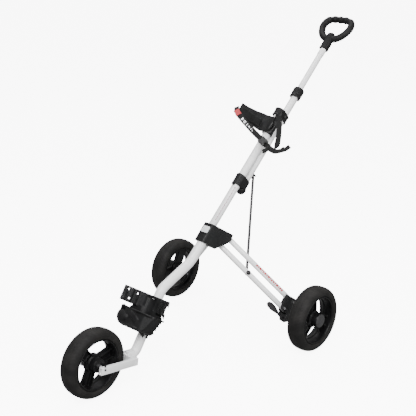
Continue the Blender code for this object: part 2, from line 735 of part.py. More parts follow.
def strap_path():
    """The slack bag strap: from the right arm's tip, under the tube's front, up to the left tip."""
    places = [(-0.0930, -0.1085, 0.2080), (-0.0740, -0.1060, 0.1850), (-0.0210, -0.0690, 0.1580)]
    places += [(0.0180, -0.0430, 0.1420), (0.0560, -0.0300, 0.1240), (0.0860, -0.0300, 0.1130)]
    places += [(0.1010, -0.0400, 0.1220), (0.1020, -0.0540, 0.1480), (0.0990, -0.0800, 0.1820)]
    places += [(0.0940, -0.1060, 0.2080)]
    return [Vector(place) for place in places]


def smooth_path(points, per_span):
    """A Catmull-Rom curve through the points."""
    made = []
    count = len(points)
    for i in range(count - 1):
        before, start = points[max(i - 1, 0)], points[i]
        end, after = points[i + 1], points[min(i + 2, count - 1)]
        for k in range(per_span):
            t = k / per_span
            pull = start * 2 + (end - before) * t
            pull += (before * 2 - start * 5 + end * 4 - after) * t * t
            pull += (start * 3 - before - end * 3 + after) * t**3
            made.append(pull / 2)
    made.append(points[-1])
    return made


def bag_strap():
    path = smooth_path(strap_path(), 2)
    across = ALONG_LOCAL + Vector((0.35, 0, 0))
    return ribbon("bag_strap", path, 0.020, 0.002, across, WEBBING)


ALONG_LOCAL = Vector((0, 0, 1))


def strap_buckle():
    centre = (strap_path()[3] + strap_path()[4]) / 2
    along = (strap_path()[4] - strap_path()[3]).normalized()
    turn = along.to_track_quat("X", "Z").to_matrix().to_4x4()
    place = FRAME @ Matrix.Translation(centre + Vector((0, -0.0052, 0))) @ turn
    return box("strap_buckle", (-0.014, -0.0032, -0.014), (0.014, 0.0032, 0.014), BLACK_PLASTIC, place)


# Legs


def leg_tube(name, inner, outer, bores):
    end = LEG_DIRECTION * 0.006
    place = LEG_PLANE @ inner
    leg = rod(name, inner - end, outer + end, LEG_RADIUS, 16, WHITE_PAINT, LEG_PLANE, place)
    bore(leg, inner - end * 2, outer + end * 2, LEG_RADIUS - 0.0015, 16, LEG_PLANE)
    across = Vector((0.02, 0, 0))
    for centre, radius in bores:
        bore(leg, centre - across, centre + across, radius, 12, LEG_PLANE)
    return leg


def pin(name, centre, reach_front, reach_back, radius=PIN_RADIUS):
    front, back = Vector((reach_front, 0, 0)), Vector((reach_back, 0, 0))
    return rod(name, centre - back, centre + front, radius, 12, STEEL, LEG_PLANE)


PEDAL_PIVOT = Vector((0, 0.2960, -0.1372))
WHEEL_FACE_X = 0.2930  # the wheel bracket stays inside this, clear of the tyre
BRACKET_CHEEK = 0.0128


def wheel_bracket():
    """Two cheeks on the legs' outer pivots, joined round the stub axle's boss."""
    flat = LEG_PLANE @ Matrix([(0, 0, 1, 0), (1, 0, 0, 0), (0, 1, 0, 0), (0, 0, 0, 1)])
    outline = [(0.2625, -0.0590), (0.2975, -0.0570), (0.3450, -0.0640), (0.3640, -0.0760)]
    outline += [(0.3640, -0.1050), (0.3300, -0.1250), (0.3080, -0.1450), (0.2900, -0.1450)]
    outline += [(0.2810, -0.1310), (0.2660, -0.1080)]
    body = prism(
        "wheel_bracket_left", outline, -BRACKET_CHEEK, BRACKET_CHEEK, BLACK_PLASTIC, flat
    )
    room = [(0.2400, -0.0400), (0.3000, -0.0400), (0.3150, -0.0600), (0.3150, -0.0850)]
    room += [(0.2990, -0.1100), (0.2960, -0.1235), (0.2400, -0.1235)]
    combine(body, prism("bracket_room", room, -CHEEK, CHEEK, None, flat))
    low = [(0.2400, -0.1085), (0.2620, -0.1125), (0.3010, -0.1215), (0.3010, -0.1600)]
    low += [(0.2400, -0.1600)]
    combine(body, prism("bracket_front_low", low, CHEEK - 0.0001, 0.03, None, flat))
    level = Matrix.Translation((0, 0, WHEEL_RADIUS))
    boss = rod("axle_boss", (0.2700, 0, 0), (WHEEL_FACE_X, 0, 0), 0.0150, 16, None, level)
    combine(body, boss, "UNION")
    combine(body, cutter_box("bracket_trim", (WHEEL_FACE_X, -0.1, 0), (0.5, 0.1, 0.3), Matrix()))
    bore(body, (0.2748, 0, 0), (0.31, 0, 0), AXLE_RADIUS + GAP, 12, level)
    across = Vector((0.02, 0, 0))
    for centre in (PIVOT_UPPER_OUT, PIVOT_LOWER_OUT):
        bore(body, centre - across, centre + across, PIN_RADIUS + 0.0004, 12, LEG_PLANE)
    slot = [(0.2400, -0.1280), (0.3040, -0.1280), (0.3040, -0.1600), (0.2400, -0.1600)]
    combine(body, prism("pedal_slot", slot, -0.0078, 0.0078, None, flat))
    stub = Vector((0.0104, 0, 0))
    return bore(body, PEDAL_PIVOT - stub, PEDAL_PIVOT + stub, 0.0023, 10, LEG_PLANE)


def brake_pedal():
    """The foot lever below the left bracket, with a flat oval pad."""
    flat = LEG_PLANE @ Matrix([(0, 0, 1, 0), (1, 0, 0, 0), (0, 1, 0, 0), (0, 0, 0, 1)])
    tip = Vector((0, 0.2245, -0.1170))
    away = (tip - PEDAL_PIVOT).normalized()
    side = Vector((0, away.z, -away.y)) * -1
    outline = []
    for along, half in ((-0.006, 0.0045), (0.0, 0.0055), (0.024, 0.0026), (0.036, 0.0060)):
        outline.append((along, half))
    outline += [(0.050, 0.0095), (0.066, 0.0095), (0.076, 0.0040)]
    shape = outline + [(along, -half) for along, half in reversed(outline)]
    points = []
    for along, half in shape:
        place = PEDAL_PIVOT + away * along + side * half
        points.append((place.y, place.z))
    place = LEG_PLANE @ PEDAL_PIVOT
    pedal = prism("brake_pedal", points, -0.0072, 0.0072, BLACK_PLASTIC, flat, origin=place)
    stub = Vector((0.0100, 0, 0))
    trunnion = rod(
        "pedal_trunnion", PEDAL_PIVOT - stub, PEDAL_PIVOT + stub, 0.0020, 10, None, LEG_PLANE
    )
    return combine(pedal, trunnion, "UNION")


def brace_rod():
    """The thin rod from the anchor to the left lower leg, with a ball end and an eye."""
    top = LEG_PLANE.inverted() @ (FRAME @ Vector(ROD_TOP))
    end = KNOB - Vector((ROD_OFFSET, 0, 0))
    place = FRAME @ Vector(ROD_TOP)
    away = (end - top).normalized()
    made = rod(
        "brace_rod_left", top, end - away * 0.004, ROD_RADIUS, 8, BLACK_PLASTIC, LEG_PLANE
    )
    bm = bmesh.new()
    bmesh.ops.create_uvsphere(bm, u_segments=10, v_segments=6, radius=0.0038)
    ball = add_mesh("rod_ball", mesh_from(bm, "rod_ball", Matrix.Translation(place)), None)
    combine(made, ball, "UNION")
    half = Vector((0.0022, 0, 0))
    eye = rod("rod_eye", end - half, end + half, 0.0068, 12, None, LEG_PLANE)
    combine(made, eye, "UNION")
    bore(made, end - half * 4, end + half * 4, 0.0028, 10, LEG_PLANE)
    return made


def knob_bolt():
    """The bolt through the left lower leg that the rod's eye hooks behind."""
    shank = pin("knob_bolt_left", KNOB, LEG_RADIUS + 0.001, LEG_RADIUS + 0.0005, 0.0022)
    head = rod(
        "knob_head",
        KNOB + Vector((LEG_RADIUS + 0.0006, 0, 0)),
        KNOB + Vector((LEG_RADIUS + 0.0058, 0, 0)),
        0.0078,
        14,
        None,
        LEG_PLANE,
    )
    shank.data.materials[0] = BLACK_PLASTIC
    return combine(shank, head, "UNION")


def hub_pin(name, centre):
    """A pivot pin between the hub's cheeks."""
    return pin(name, centre, CHEEK - GAP, CHEEK - GAP)


def leg_set():
    bore_radius = PIN_RADIUS + 0.0004
    upper_bores = [(PIVOT_UPPER_IN, bore_radius), (PIVOT_UPPER_OUT, bore_radius)]
    lower_bores = [(PIVOT_LOWER_IN, bore_radius), (PIVOT_LOWER_OUT, bore_radius)]
    lower_leg = leg_tube("leg_lower_left", PIVOT_LOWER_IN, PIVOT_LOWER_OUT, lower_bores)
    left = [
        leg_tube("leg_upper_left", PIVOT_UPPER_IN, PIVOT_UPPER_OUT, upper_bores),
        lower_leg,
        hub_pin("hub_pin_upper_left", PIVOT_UPPER_IN),
        hub_pin("hub_pin_lower_left", PIVOT_LOWER_IN),
        pin("bracket_pin_upper_left", PIVOT_UPPER_OUT, 0.0145, 0.0145),
        pin("bracket_pin_lower_left", PIVOT_LOWER_OUT, 0.0145, 0.0145),
        wheel_bracket(),
    ]
    for part in left:
        right_copy(part)
    across = Vector((0.02, 0, 0))
    bore(lower_leg, KNOB - across, KNOB + across, 0.0026, 12, LEG_PLANE)
    brace_rod()
    knob_bolt()
    brake_pedal()


# Wheels

TYRE_INNER = 0.0850
HUB_HALF = 0.0315
WHEEL_STEPS = 32


def wheel(place, x, y, outward, hub_half=HUB_HALF):
    """Tyre, rim and bush; outward is +1 where the rim's deeper side faces -X."""
    centre = Vector((x, y, WHEEL_RADIUS))
    axis = Matrix.Translation(centre) @ Matrix.Rotation(math.radians(90 * outward), 4, "Y")
    outer = WHEEL_RADIUS / math.cos(math.pi / WHEEL_STEPS)
    edge = TYRE_HALF_WIDTH
    half = [(0.0870, edge - 0.002), (0.0960, edge), (0.1060, edge - 0.0035), (0.1125, 0.0205)]
    profile = [(TYRE_INNER, edge - 0.006)] + half + [(outer, 0.0115)]
    profile += [(radius, -height) for radius, height in reversed(profile)]
    casing = [(TYRE_INNER, -0.0185), (0.0950, -0.0235), (0.1065, -0.0140)]
    profile += casing + [(radius, -height) for radius, height in reversed(casing)]
    turned(f"{place}_tyre", profile, WHEEL_STEPS, BLACK_RUBBER, axis, centre)
    seat = TYRE_INNER - 0.0006
    rim = [(0.0835, 0.0275), (seat, 0.0245), (seat, -0.0245), (0.0835, -0.0275), (0.0790, -0.0275)]
    rim += [(0.0775, -0.0090), (0.0250, -0.0090), (0.0220, -hub_half), (0.0085, -hub_half)]
    rim += [(0.0085, hub_half), (0.0235, hub_half), (0.0265, -0.0030), (0.0765, -0.0030)]
    rim += [(0.0790, 0.0275)]
    made = turned(f"{place}_rim", rim, WHEEL_STEPS, BLACK_PLASTIC, axis, centre)
    for i in range(3):
        middle = 90 + 120 * i
        outline = arc((0, 0), 0.0740, middle - 44, middle + 44, 6)
        outline += arc((0, 0), 0.0300, middle + 26, middle - 26, 2)
        upright = Matrix.Translation(centre) @ Matrix(
            [(0, 0, 1, 0), (1, 0, 0, 0), (0, 1, 0, 0), (0, 0, 0, 1)]
        )
        combine(made, prism(f"{place}_window_{i}", outline, -0.03, 0.02, None, upright))
    bush = [(0.0082, 0.030), (0.0082, -0.030), (AXLE_RADIUS + 0.0004, -0.030)]
    bush += [(AXLE_RADIUS + 0.0004, 0.030)]
    turned(f"{place}_bush", bush, 12, GREY_PLASTIC, axis, centre)
    return centre, axis


def wheels():
    """A free wheel at the front, and one on each rear bracket's stub axle."""
    wheel("front_wheel", 0, -WHEELBASE, 1, 0.0385)
    for side, sign in (("left", 1), ("right", -1)):
        x = sign * REAR_TRACK / 2
        centre, axis = wheel(f"rear_wheel_{side}", x, 0, sign)
        cap = [(0.0200, 0.0365), (0.0240, 0.0340), (0.0240, HUB_HALF + GAP)]
        cap += [(0.0001, HUB_HALF + GAP), (0.0001, 0.0365)]
        turned(f"hub_cap_{side}", cap, 20, GREY_PLASTIC, axis, centre)
        rod(
            f"rear_axle_{side}",
            (sign * 0.2750, 0, WHEEL_RADIUS),
            (sign * (REAR_TRACK / 2 + 0.0305), 0, WHEEL_RADIUS),
            AXLE_RADIUS,
            12,
            STEEL,
            Matrix(),
        )


lower_frame_tube()
main_tube()
fork()
front_axle_parts()
hub()
hub_badge()
carriage()
tube_between(
    "upper_tube", UPPER_TUBE_BOTTOM, UPPER_TUBE_TOP, UPPER_RADIUS, UPPER_BORE, WHITE_PAINT
)
rod_anchor()
top_guide()
latch_button()
handle_lock()
tube_between(
    "handle_tube", HANDLE_TUBE_BOTTOM, 0.6183, HANDLE_RADIUS, HANDLE_RADIUS - WALL, WHITE_PAINT
)
handle_grip()
lower_bag_bracket()
bag_bracket_bolt()
upper_cradle()
cradle_pads()
bag_strap()
strap_buckle()
leg_set()
wheels()
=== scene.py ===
"""A golf push trolley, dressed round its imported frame. Metres, +Z up, front wheel towards -Y."""

import itertools
import json
import math

import bmesh
import bpy
from mathutils import Matrix, Vector

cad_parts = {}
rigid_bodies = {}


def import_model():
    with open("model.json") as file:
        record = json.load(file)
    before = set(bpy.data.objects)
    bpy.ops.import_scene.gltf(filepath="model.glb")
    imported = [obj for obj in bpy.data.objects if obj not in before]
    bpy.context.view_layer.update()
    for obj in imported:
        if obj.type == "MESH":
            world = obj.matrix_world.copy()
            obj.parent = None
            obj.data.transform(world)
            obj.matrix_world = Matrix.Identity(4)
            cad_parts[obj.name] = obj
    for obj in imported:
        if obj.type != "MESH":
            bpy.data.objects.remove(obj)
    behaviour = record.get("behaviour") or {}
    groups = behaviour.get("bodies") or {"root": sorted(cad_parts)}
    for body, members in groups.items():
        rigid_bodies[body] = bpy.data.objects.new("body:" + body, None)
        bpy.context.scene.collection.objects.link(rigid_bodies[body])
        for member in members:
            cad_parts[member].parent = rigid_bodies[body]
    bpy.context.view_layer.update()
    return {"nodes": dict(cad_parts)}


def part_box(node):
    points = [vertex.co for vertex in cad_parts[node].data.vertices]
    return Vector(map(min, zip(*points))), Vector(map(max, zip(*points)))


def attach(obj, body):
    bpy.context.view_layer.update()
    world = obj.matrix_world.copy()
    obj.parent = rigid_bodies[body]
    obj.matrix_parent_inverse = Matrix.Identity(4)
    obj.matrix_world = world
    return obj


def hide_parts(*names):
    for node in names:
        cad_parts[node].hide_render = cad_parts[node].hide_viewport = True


for startup in list(bpy.data.objects):
    bpy.data.objects.remove(startup)
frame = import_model()

# Dimensions of the frame
AXLE_Y = 0.1220  # of the rear axle
WHEEL_RADIUS = 0.115
REAR_X = 0.3268
FRONT_Y = AXLE_Y - 0.7127
SLOPE = math.radians(42.5)
SLOPE_Y, SLOPE_Z = math.cos(SLOPE), math.sin(SLOPE)
UPPER_N = 0.0302  # of the upper tube's axis, behind the main tube's

# Local (x, behind, along) of the main tube
TUBE = Matrix.Translation((0, AXLE_Y, 0.557)) @ Matrix(
    [(1, 0, 0, 0), (0, SLOPE_Z, SLOPE_Y, 0), (0, -SLOPE_Y, SLOPE_Z, 0), (0, 0, 0, 1)]
)
LEG_SPLAY, LEG_DROOP = math.radians(44.25), math.radians(13.2)
# Local (face, out, along) of the left legs' plane
LEG = TUBE @ Matrix.Translation((0.04, 0.075, -0.2112)) @ Matrix.Rotation(-LEG_SPLAY, 4, "Z")
LEG_LINE = Vector((0, math.cos(LEG_DROOP), -math.sin(LEG_DROOP)))
UPPER_IN, UPPER_OUT = LEG_LINE * -0.0144, LEG_LINE * 0.309
LOWER_IN = Vector((0, 0, -0.040)) + LEG_LINE * -0.033
LOWER_OUT = UPPER_OUT + LOWER_IN - UPPER_IN
KNOB = Vector((0, 0, -0.040)) + LEG_LINE * 0.1143
ROD_TOP = Vector((0, 0.0568, 0.036))  # of the stay rod, in the main tube's frame
ROD_BEHIND = 0.0160  # from the legs' plane to the rod's lower end
BEND_LOW = Vector((0, AXLE_Y - 0.532, 0.0775))
BEND_HIGH = Vector((0, AXLE_Y - 0.403, 0.262))
BAG_RUN = (BEND_HIGH - BEND_LOW).normalized()
# Local (x, behind, along) of the bag bracket
BAG = Matrix.Translation(BEND_LOW + BAG_RUN * 0.1262) @ Matrix(
    [(1, 0, 0, 0), (0, BAG_RUN.z, BAG_RUN.y, 0), (0, -BAG_RUN.y, BAG_RUN.z, 0), (0, 0, 0, 1)]
)
SWAP_YZ = Matrix([(1, 0, 0, 0), (0, 0, 1, 0), (0, 1, 0, 0), (0, 0, 0, 1)])
SIDEWAYS = Matrix.Rotation(math.pi / 2, 4, "Y")  # turns local Z to +X

# Outside radii of the tubes
LOWER_RADIUS, MAIN_RADIUS, UPPER_RADIUS = 0.0165, 0.014, 0.0135
HANDLE_RADIUS, LEG_RADIUS = 0.011, 0.0095


# Materials


class Nodes:
    """A material's node tree, with a short way to add and link nodes."""

    def __init__(self, name):
        self.material = bpy.data.materials.new(name)
        self.material.use_nodes = True
        self.tree = self.material.node_tree
        self.shader = self.tree.nodes["Principled BSDF"]

    def add(self, kind, values=(), **settings):
        node = self.tree.nodes.new("ShaderNode" + kind)
        for key, value in settings.items():
            setattr(node, key, value)
        for key, value in dict(values).items():
            if isinstance(value, bpy.types.NodeSocket):
                self.tree.links.new(value, node.inputs[key])
            else:
                node.inputs[key].default_value = value
        return node

    def link(self, output, socket):
        self.tree.links.new(output, self.shader.inputs[socket])

    def place(self):
        return self.add("TexCoord").outputs["Object"]

    def noise(self, scale, detail=3.0, vector=None):
        return self.add(
            "TexNoise",
            {"Vector": vector or self.place(), "Scale": scale, "Detail": detail},
        ).outputs["Fac"]

    def ramp(self, factor, low, high, start=0.0, end=1.0):
        """Maps a factor from start..end to low..high."""
        node = self.add(
            "MapRange",
            {"Value": factor, "From Min": start, "From Max": end, "To Min": low, "To Max": high},
        )
        return node.outputs["Result"]

    def tint(self, factor, first, second):
        mix = self.add("Mix", data_type="RGBA")
        self.tree.links.new(factor, mix.inputs["Factor"])
        mix.inputs[6].default_value = (*first, 1)
        mix.inputs[7].default_value = (*second, 1)
        return mix.outputs[2]

    def bump(self, height, strength, distance, normal=None):
        values = {"Height": height, "Strength": strength, "Distance": distance}
        if normal:
            values["Normal"] = normal
        return self.add("Bump", values).outputs["Normal"]


def math_node(nodes, first, second, operation):
    made = nodes.add("Math", operation=operation)
    for socket, value in zip(made.inputs, (first, second)):
        if isinstance(value, bpy.types.NodeSocket):
            nodes.tree.links.new(value, socket)
        else:
            socket.default_value = value
    return made.outputs[0]


def painted(name, colour, darker, roughness, coat=0.35):
    """Powder coat: faint orange peel, and slightly darker where dust settles."""
    nodes = Nodes(name)
    cloud = nodes.ramp(nodes.noise(9, 4), 0, 1, 0.35, 0.7)
    nodes.link(nodes.tint(cloud, colour, darker), "Base Color")
    nodes.link(nodes.ramp(nodes.noise(60), roughness - 0.05, roughness + 0.08), "Roughness")
    nodes.shader.inputs["Coat Weight"].default_value = coat
    nodes.shader.inputs["Coat Roughness"].default_value = 0.18
    nodes.link(nodes.bump(nodes.noise(900, 2), 0.12, 0.0002), "Normal")
    return nodes.material


def moulded_plastic(name, colour, lighter, roughness, grain=0.25, scale=1500, shine=0.16):
    """Injection-moulded plastic with a fine spark-eroded grain."""
    nodes = Nodes(name)
    place = nodes.place()
    cloud = nodes.ramp(nodes.noise(35, 5, place), 0, 1, 0.4, 0.75)
    nodes.link(nodes.tint(cloud, colour, lighter), "Base Color")
    wear = nodes.ramp(nodes.noise(140, 3, place), roughness - 0.1, roughness + 0.12)
    nodes.link(wear, "Roughness")
    cells = nodes.add("TexVoronoi", {"Vector": place, "Scale": scale}).outputs["Distance"]
    soft = nodes.bump(nodes.noise(220, 2, place), 0.12, 0.0004)
    nodes.link(nodes.bump(cells, grain, 0.00025, soft), "Normal")
    nodes.shader.inputs["Specular IOR Level"].default_value = shine
    return nodes.material


def rubber(name):
    """Tyre rubber: dull, dusty and slightly grainy."""
    nodes = Nodes(name)
    place = nodes.place()
    dust = nodes.ramp(nodes.noise(26, 6, place), 0, 1, 0.42, 0.8)
    nodes.link(nodes.tint(dust, (0.0060, 0.0057, 0.0055), (0.017, 0.0160, 0.0152)), "Base Color")
    nodes.link(nodes.ramp(nodes.noise(90, 4, place), 0.55, 0.82), "Roughness")
    fine = nodes.bump(nodes.noise(700, 4, place), 0.25, 0.0003)
    nodes.link(fine, "Normal")
    nodes.shader.inputs["Specular IOR Level"].default_value = 0.2
    return nodes.material


def woven(name, colour, lighter):
    """Flat webbing, ribbed across its width, from its UV map in metres."""
    nodes = Nodes(name)
    uv = nodes.add("UVMap").outputs["UV"]
    parts = nodes.add("SeparateXYZ", {"Vector": uv})
    along, across = parts.outputs["X"], parts.outputs["Y"]
    rib_phase, yarn_phase = 4200.0, 5200.0  # radians per metre
    ribs = math_node(nodes, math_node(nodes, along, rib_phase, "MULTIPLY"), 0, "SINE")
    yarns = math_node(nodes, math_node(nodes, across, yarn_phase, "MULTIPLY"), 0, "SINE")
    weave = math_node(nodes, ribs, yarns, "MULTIPLY")
    factor = nodes.ramp(weave, 0, 1, -1, 1)
    nodes.link(nodes.tint(factor, colour, lighter), "Base Color")
    nodes.shader.inputs["Roughness"].default_value = 0.85
    nodes.shader.inputs["Sheen Weight"].default_value = 0.08
    nodes.shader.inputs["Specular IOR Level"].default_value = 0.2
    nodes.link(nodes.bump(factor, 0.6, 0.0004), "Normal")
    return nodes.material


def knitted(name, colour, lighter):
    """Foam pad under a close knit."""
    nodes = Nodes(name)
    place = nodes.place()
    cells = nodes.add("TexVoronoi", {"Vector": place, "Scale": 900.0}).outputs["Distance"]
    cloud = nodes.ramp(nodes.noise(50, 5, place), 0, 1, 0.35, 0.75)
    nodes.link(nodes.tint(cloud, colour, lighter), "Base Color")
    nodes.shader.inputs["Roughness"].default_value = 0.92
    nodes.shader.inputs["Sheen Weight"].default_value = 0.10
    nodes.shader.inputs["Specular IOR Level"].default_value = 0.2
    folds = nodes.bump(nodes.noise(60, 3, place), 0.25, 0.0015)
    nodes.link(nodes.bump(cells, 0.55, 0.0005, folds), "Normal")
    return nodes.material


def metal(name, colour, roughness):
    nodes = Nodes(name)
    nodes.shader.inputs["Metallic"].default_value = 1.0
    nodes.link(nodes.tint(nodes.noise(120, 4), colour, [c * 0.8 for c in colour]), "Base Color")
    nodes.link(nodes.ramp(nodes.noise(400, 3), roughness - 0.08, roughness + 0.1), "Roughness")
    return nodes.material


WHITE = painted("white_powder_coat", (0.86, 0.86, 0.865), (0.80, 0.80, 0.805), 0.30)
BLACK = moulded_plastic("black_plastic", (0.0050, 0.0050, 0.0054), (0.0105, 0.0105, 0.0110), 0.42)
SOFT_BLACK = moulded_plastic(
    "soft_grip", (0.0045, 0.0045, 0.0048), (0.009, 0.009, 0.0095), 0.55, 0.5, 2400
)
RIM_BLACK = moulded_plastic("rim_plastic", (0.0045, 0.0045, 0.0048), (0.0085, 0.0085, 0.0090), 0.36)
GREY = moulded_plastic("grey_plastic", (0.028, 0.028, 0.029), (0.040, 0.040, 0.041), 0.45)
RUBBER = rubber("tyre_rubber")
WEBBING = woven("webbing", (0.005, 0.005, 0.005), (0.016, 0.016, 0.0165))
PAD = knitted("foam_pad", (0.0045, 0.0045, 0.0045), (0.010, 0.010, 0.0105))
STEEL = metal("zinc_steel", (0.55, 0.55, 0.56), 0.32)
BOLT_BLACK = moulded_plastic(
    "bolt_black", (0.0065, 0.0065, 0.007), (0.013, 0.013, 0.0135), 0.35, shine=0.3
)
RED = painted("red_print", (0.42, 0.006, 0.014), (0.30, 0.005, 0.010), 0.4, 0.1)
PINK_GREY = painted("grey_print", (0.33, 0.20, 0.24), (0.42, 0.33, 0.36), 0.4, 0.1)
PALE = painted("pale_print", (0.72, 0.73, 0.75), (0.6, 0.61, 0.63), 0.35, 0.3)


# Shapes


def placed(name, data):
    """A new object in the scene."""
    made = bpy.data.objects.new(name, data)
    bpy.context.scene.collection.objects.link(made)
    return made


def object_of(bm, name, smooth=40, matrix=None):
    """A mesh object from a bmesh, with its faces outwards."""
    if matrix is not None:
        bm.transform(matrix)
    bmesh.ops.recalc_face_normals(bm, faces=bm.faces)
    if bm.calc_volume(signed=True) < 0:
        bmesh.ops.reverse_faces(bm, faces=bm.faces)
    mesh = bpy.data.meshes.new(name)
    bm.to_mesh(mesh)
    bm.free()
    if smooth:
        mesh.shade_smooth()
        if smooth < 180:
            mesh.set_sharp_from_angle(angle=math.radians(smooth))
    return placed(name, mesh)


def evaluated_mesh(thing):
    bpy.context.view_layer.update()
    graph = bpy.context.evaluated_depsgraph_get()
    return bpy.data.meshes.new_from_object(thing.evaluated_get(graph))


def settle(thing):
    """Applies an object's modifiers."""
    mesh = evaluated_mesh(thing)
    thing.modifiers.clear()
    thing.data = mesh
    return thing


def piece(thing, body, material, slot, *nodes):
    """Gives a finished piece its material and body, and hides the CAD nodes that it stands for;
    slot is not used.
    """
    if material:
        thing.data.materials.clear()
        thing.data.materials.append(material)
    if nodes:
        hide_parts(*nodes)
    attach(thing, body)
    return thing


def cad(node):
    """A bmesh of a CAD node's own shape."""
    bm = bmesh.new()
    bm.from_mesh(frame["nodes"][node].data)
    bmesh.ops.remove_doubles(bm, verts=bm.verts, dist=1e-6)
    return bm


def block(low, high, matrix=TUBE):
    bm = bmesh.new()
    bmesh.ops.create_cube(bm, size=1)
    bmesh.ops.scale(bm, vec=Vector(high) - Vector(low), verts=bm.verts)
    bmesh.ops.translate(bm, vec=(Vector(low) + Vector(high)) / 2, verts=bm.verts)
    bm.transform(matrix)
    return bm


def cone(start, end, radius, end_radius=None, sides=32, matrix=TUBE):
    start, end = Vector(start), Vector(end)
    bm = bmesh.new()
    bmesh.ops.create_cone(
        bm,
        cap_ends=True,
        segments=sides,
        radius1=radius,
        radius2=radius if end_radius is None else end_radius,
        depth=(end - start).length,
    )
    turn = (end - start).to_track_quat("Z", "Y").to_matrix().to_4x4()
    bm.transform(matrix @ Matrix.Translation((start + end) / 2) @ turn)
    return bm


def ball(centre, radius, matrix=TUBE, stretch=(1, 1, 1)):
    bm = bmesh.new()
    bmesh.ops.create_uvsphere(bm, u_segments=24, v_segments=14, radius=radius)
    bm.transform(matrix @ Matrix.Translation(centre) @ Matrix.Diagonal((*stretch, 1)))
    return bm


def plate(outline, low, high, matrix=TUBE):
    """An outline in local XY, extruded from low to high along local Z."""
    bm = bmesh.new()
    rings = []
    for height in (low, high):
        rings.append([bm.verts.new((x, y, height)) for x, y in outline])
    bm.faces.new(rings[0][::-1])
    bm.faces.new(rings[1])
    for k in range(len(outline)):
        after = (k + 1) % len(outline)
        bm.faces.new((rings[0][k], rings[0][after], rings[1][after], rings[1][k]))
    bmesh.ops.triangulate(bm, faces=[f for f in bm.faces if len(f.verts) > 4])
    bm.transform(matrix)
    return bm


def turned(profile, steps, matrix):
    """A closed profile of (radius, height) turned about local Z."""
    bm = bmesh.new()
    rings = []
    for i in range(steps):
        angle = 2 * math.pi * i / steps
        c, s = math.cos(angle), math.sin(angle)
        rings.append([bm.verts.new((r * c, r * s, z)) for r, z in profile])
    count = len(profile)
    for ring, after in zip(rings, rings[1:] + rings[:1]):
        for k in range(count):
            m = (k + 1) % count
            bm.faces.new((ring[k], ring[m], after[m], after[k]))
    bmesh.ops.remove_doubles(bm, verts=bm.verts, dist=1e-6)
    bm.transform(matrix)
    return bm


def sweep(path, radius, sides=32, cyclic=False, shape=None, across=None):
    """A section carried along a path: round, or a shape of (x, y) points; radius may vary."""
    path = [Vector(p) for p in path]
    count = len(path)
    radii = radius if isinstance(radius, (list, tuple)) else [radius] * count
    if shape is None:
        angles = [2 * math.pi * k / sides for k in range(sides)]
        shape = [(math.cos(a), math.sin(a)) for a in angles]
    bm = bmesh.new()
    rings, side = [], None
    for i, place in enumerate(path):
        before = path[i - 1] if cyclic or i else place
        after = path[(i + 1) % count] if cyclic or i < count - 1 else place
        along = (after - before).normalized()
        if across is not None:
            side = Vector(across)
        elif side is None:
            side = Vector((1, 0, 0)) if abs(along.x) < 0.9 else Vector((0, 1, 0))
        side = (side - along * side.dot(along)).normalized()
        normal = along.cross(side)
        ring = [place + (side * x + normal * y) * radii[i] for x, y in shape]
        rings.append([bm.verts.new(p) for p in ring])
    pairs = list(zip(rings, rings[1:])) + ([(rings[-1], rings[0])] if cyclic else [])
    for ring, following in pairs:
        for k in range(len(shape)):
            m = (k + 1) % len(shape)
            bm.faces.new((ring[k], ring[m], following[m], following[k]))
    if not cyclic:
        bm.faces.new(rings[0][::-1])
        bm.faces.new(rings[-1])
    return bm


def rounded_path(corners, radii, step=math.radians(3)):
    """Straight runs joined by arcs."""
    corners = [Vector(c) for c in corners]
    path = [corners[0]]
    for before, corner, after, radius in zip(corners, corners[1:], corners[2:], radii):
        inward, onward = (before - corner).normalized(), (after - corner).normalized()
        half = inward.angle(onward) / 2
        reach = radius / math.tan(half)
        centre = corner + (inward + onward).normalized() * radius / math.sin(half)
        start = corner + inward * reach - centre
        bend = math.pi - 2 * half
        normal = start.cross(corner + onward * reach - centre).normalized()
        count = max(3, math.ceil(bend / step))
        for i in range(count + 1):
            path.append(centre + Matrix.Rotation(bend * i / count, 3, normal) @ start)
    path.append(corners[-1])
    return path


def smooth_path(points, per_span, cyclic=False):
    """A Catmull-Rom curve through the points."""
    points = [Vector(p) for p in points]
    count = len(points)
    made = []
    for i in range(count if cyclic else count - 1):
        if cyclic:
            before, start, end, after = (points[(i + k) % count] for k in (-1, 0, 1, 2))
        else:
            before, start = points[max(i - 1, 0)], points[i]
            end, after = points[i + 1], points[min(i + 2, count - 1)]
        for k in range(per_span):
            t = k / per_span
            pull = start * 2 + (end - before) * t
            pull += (before * 2 - start * 5 + end * 4 - after) * t * t
            pull += (start * 3 - before - end * 3 + after) * t**3
            made.append(pull / 2)
    if not cyclic:
        made.append(points[-1])
    return made


def joined(shapes):
    bm = bmesh.new()
    for shape in shapes:
        mesh = bpy.data.meshes.new("shape")
        bmesh.ops.recalc_face_normals(shape, faces=shape.faces)
        if shape.calc_volume(signed=True) < 0:
            bmesh.ops.reverse_faces(shape, faces=shape.faces)
        shape.to_mesh(mesh)
        shape.free()
        bm.from_mesh(mesh)
        bpy.data.meshes.remove(mesh)
    return bm


def fuse(thing, voxel):
    remesh = thing.modifiers.new("fuse", "REMESH")
    remesh.mode = "VOXEL"
    remesh.voxel_size = voxel


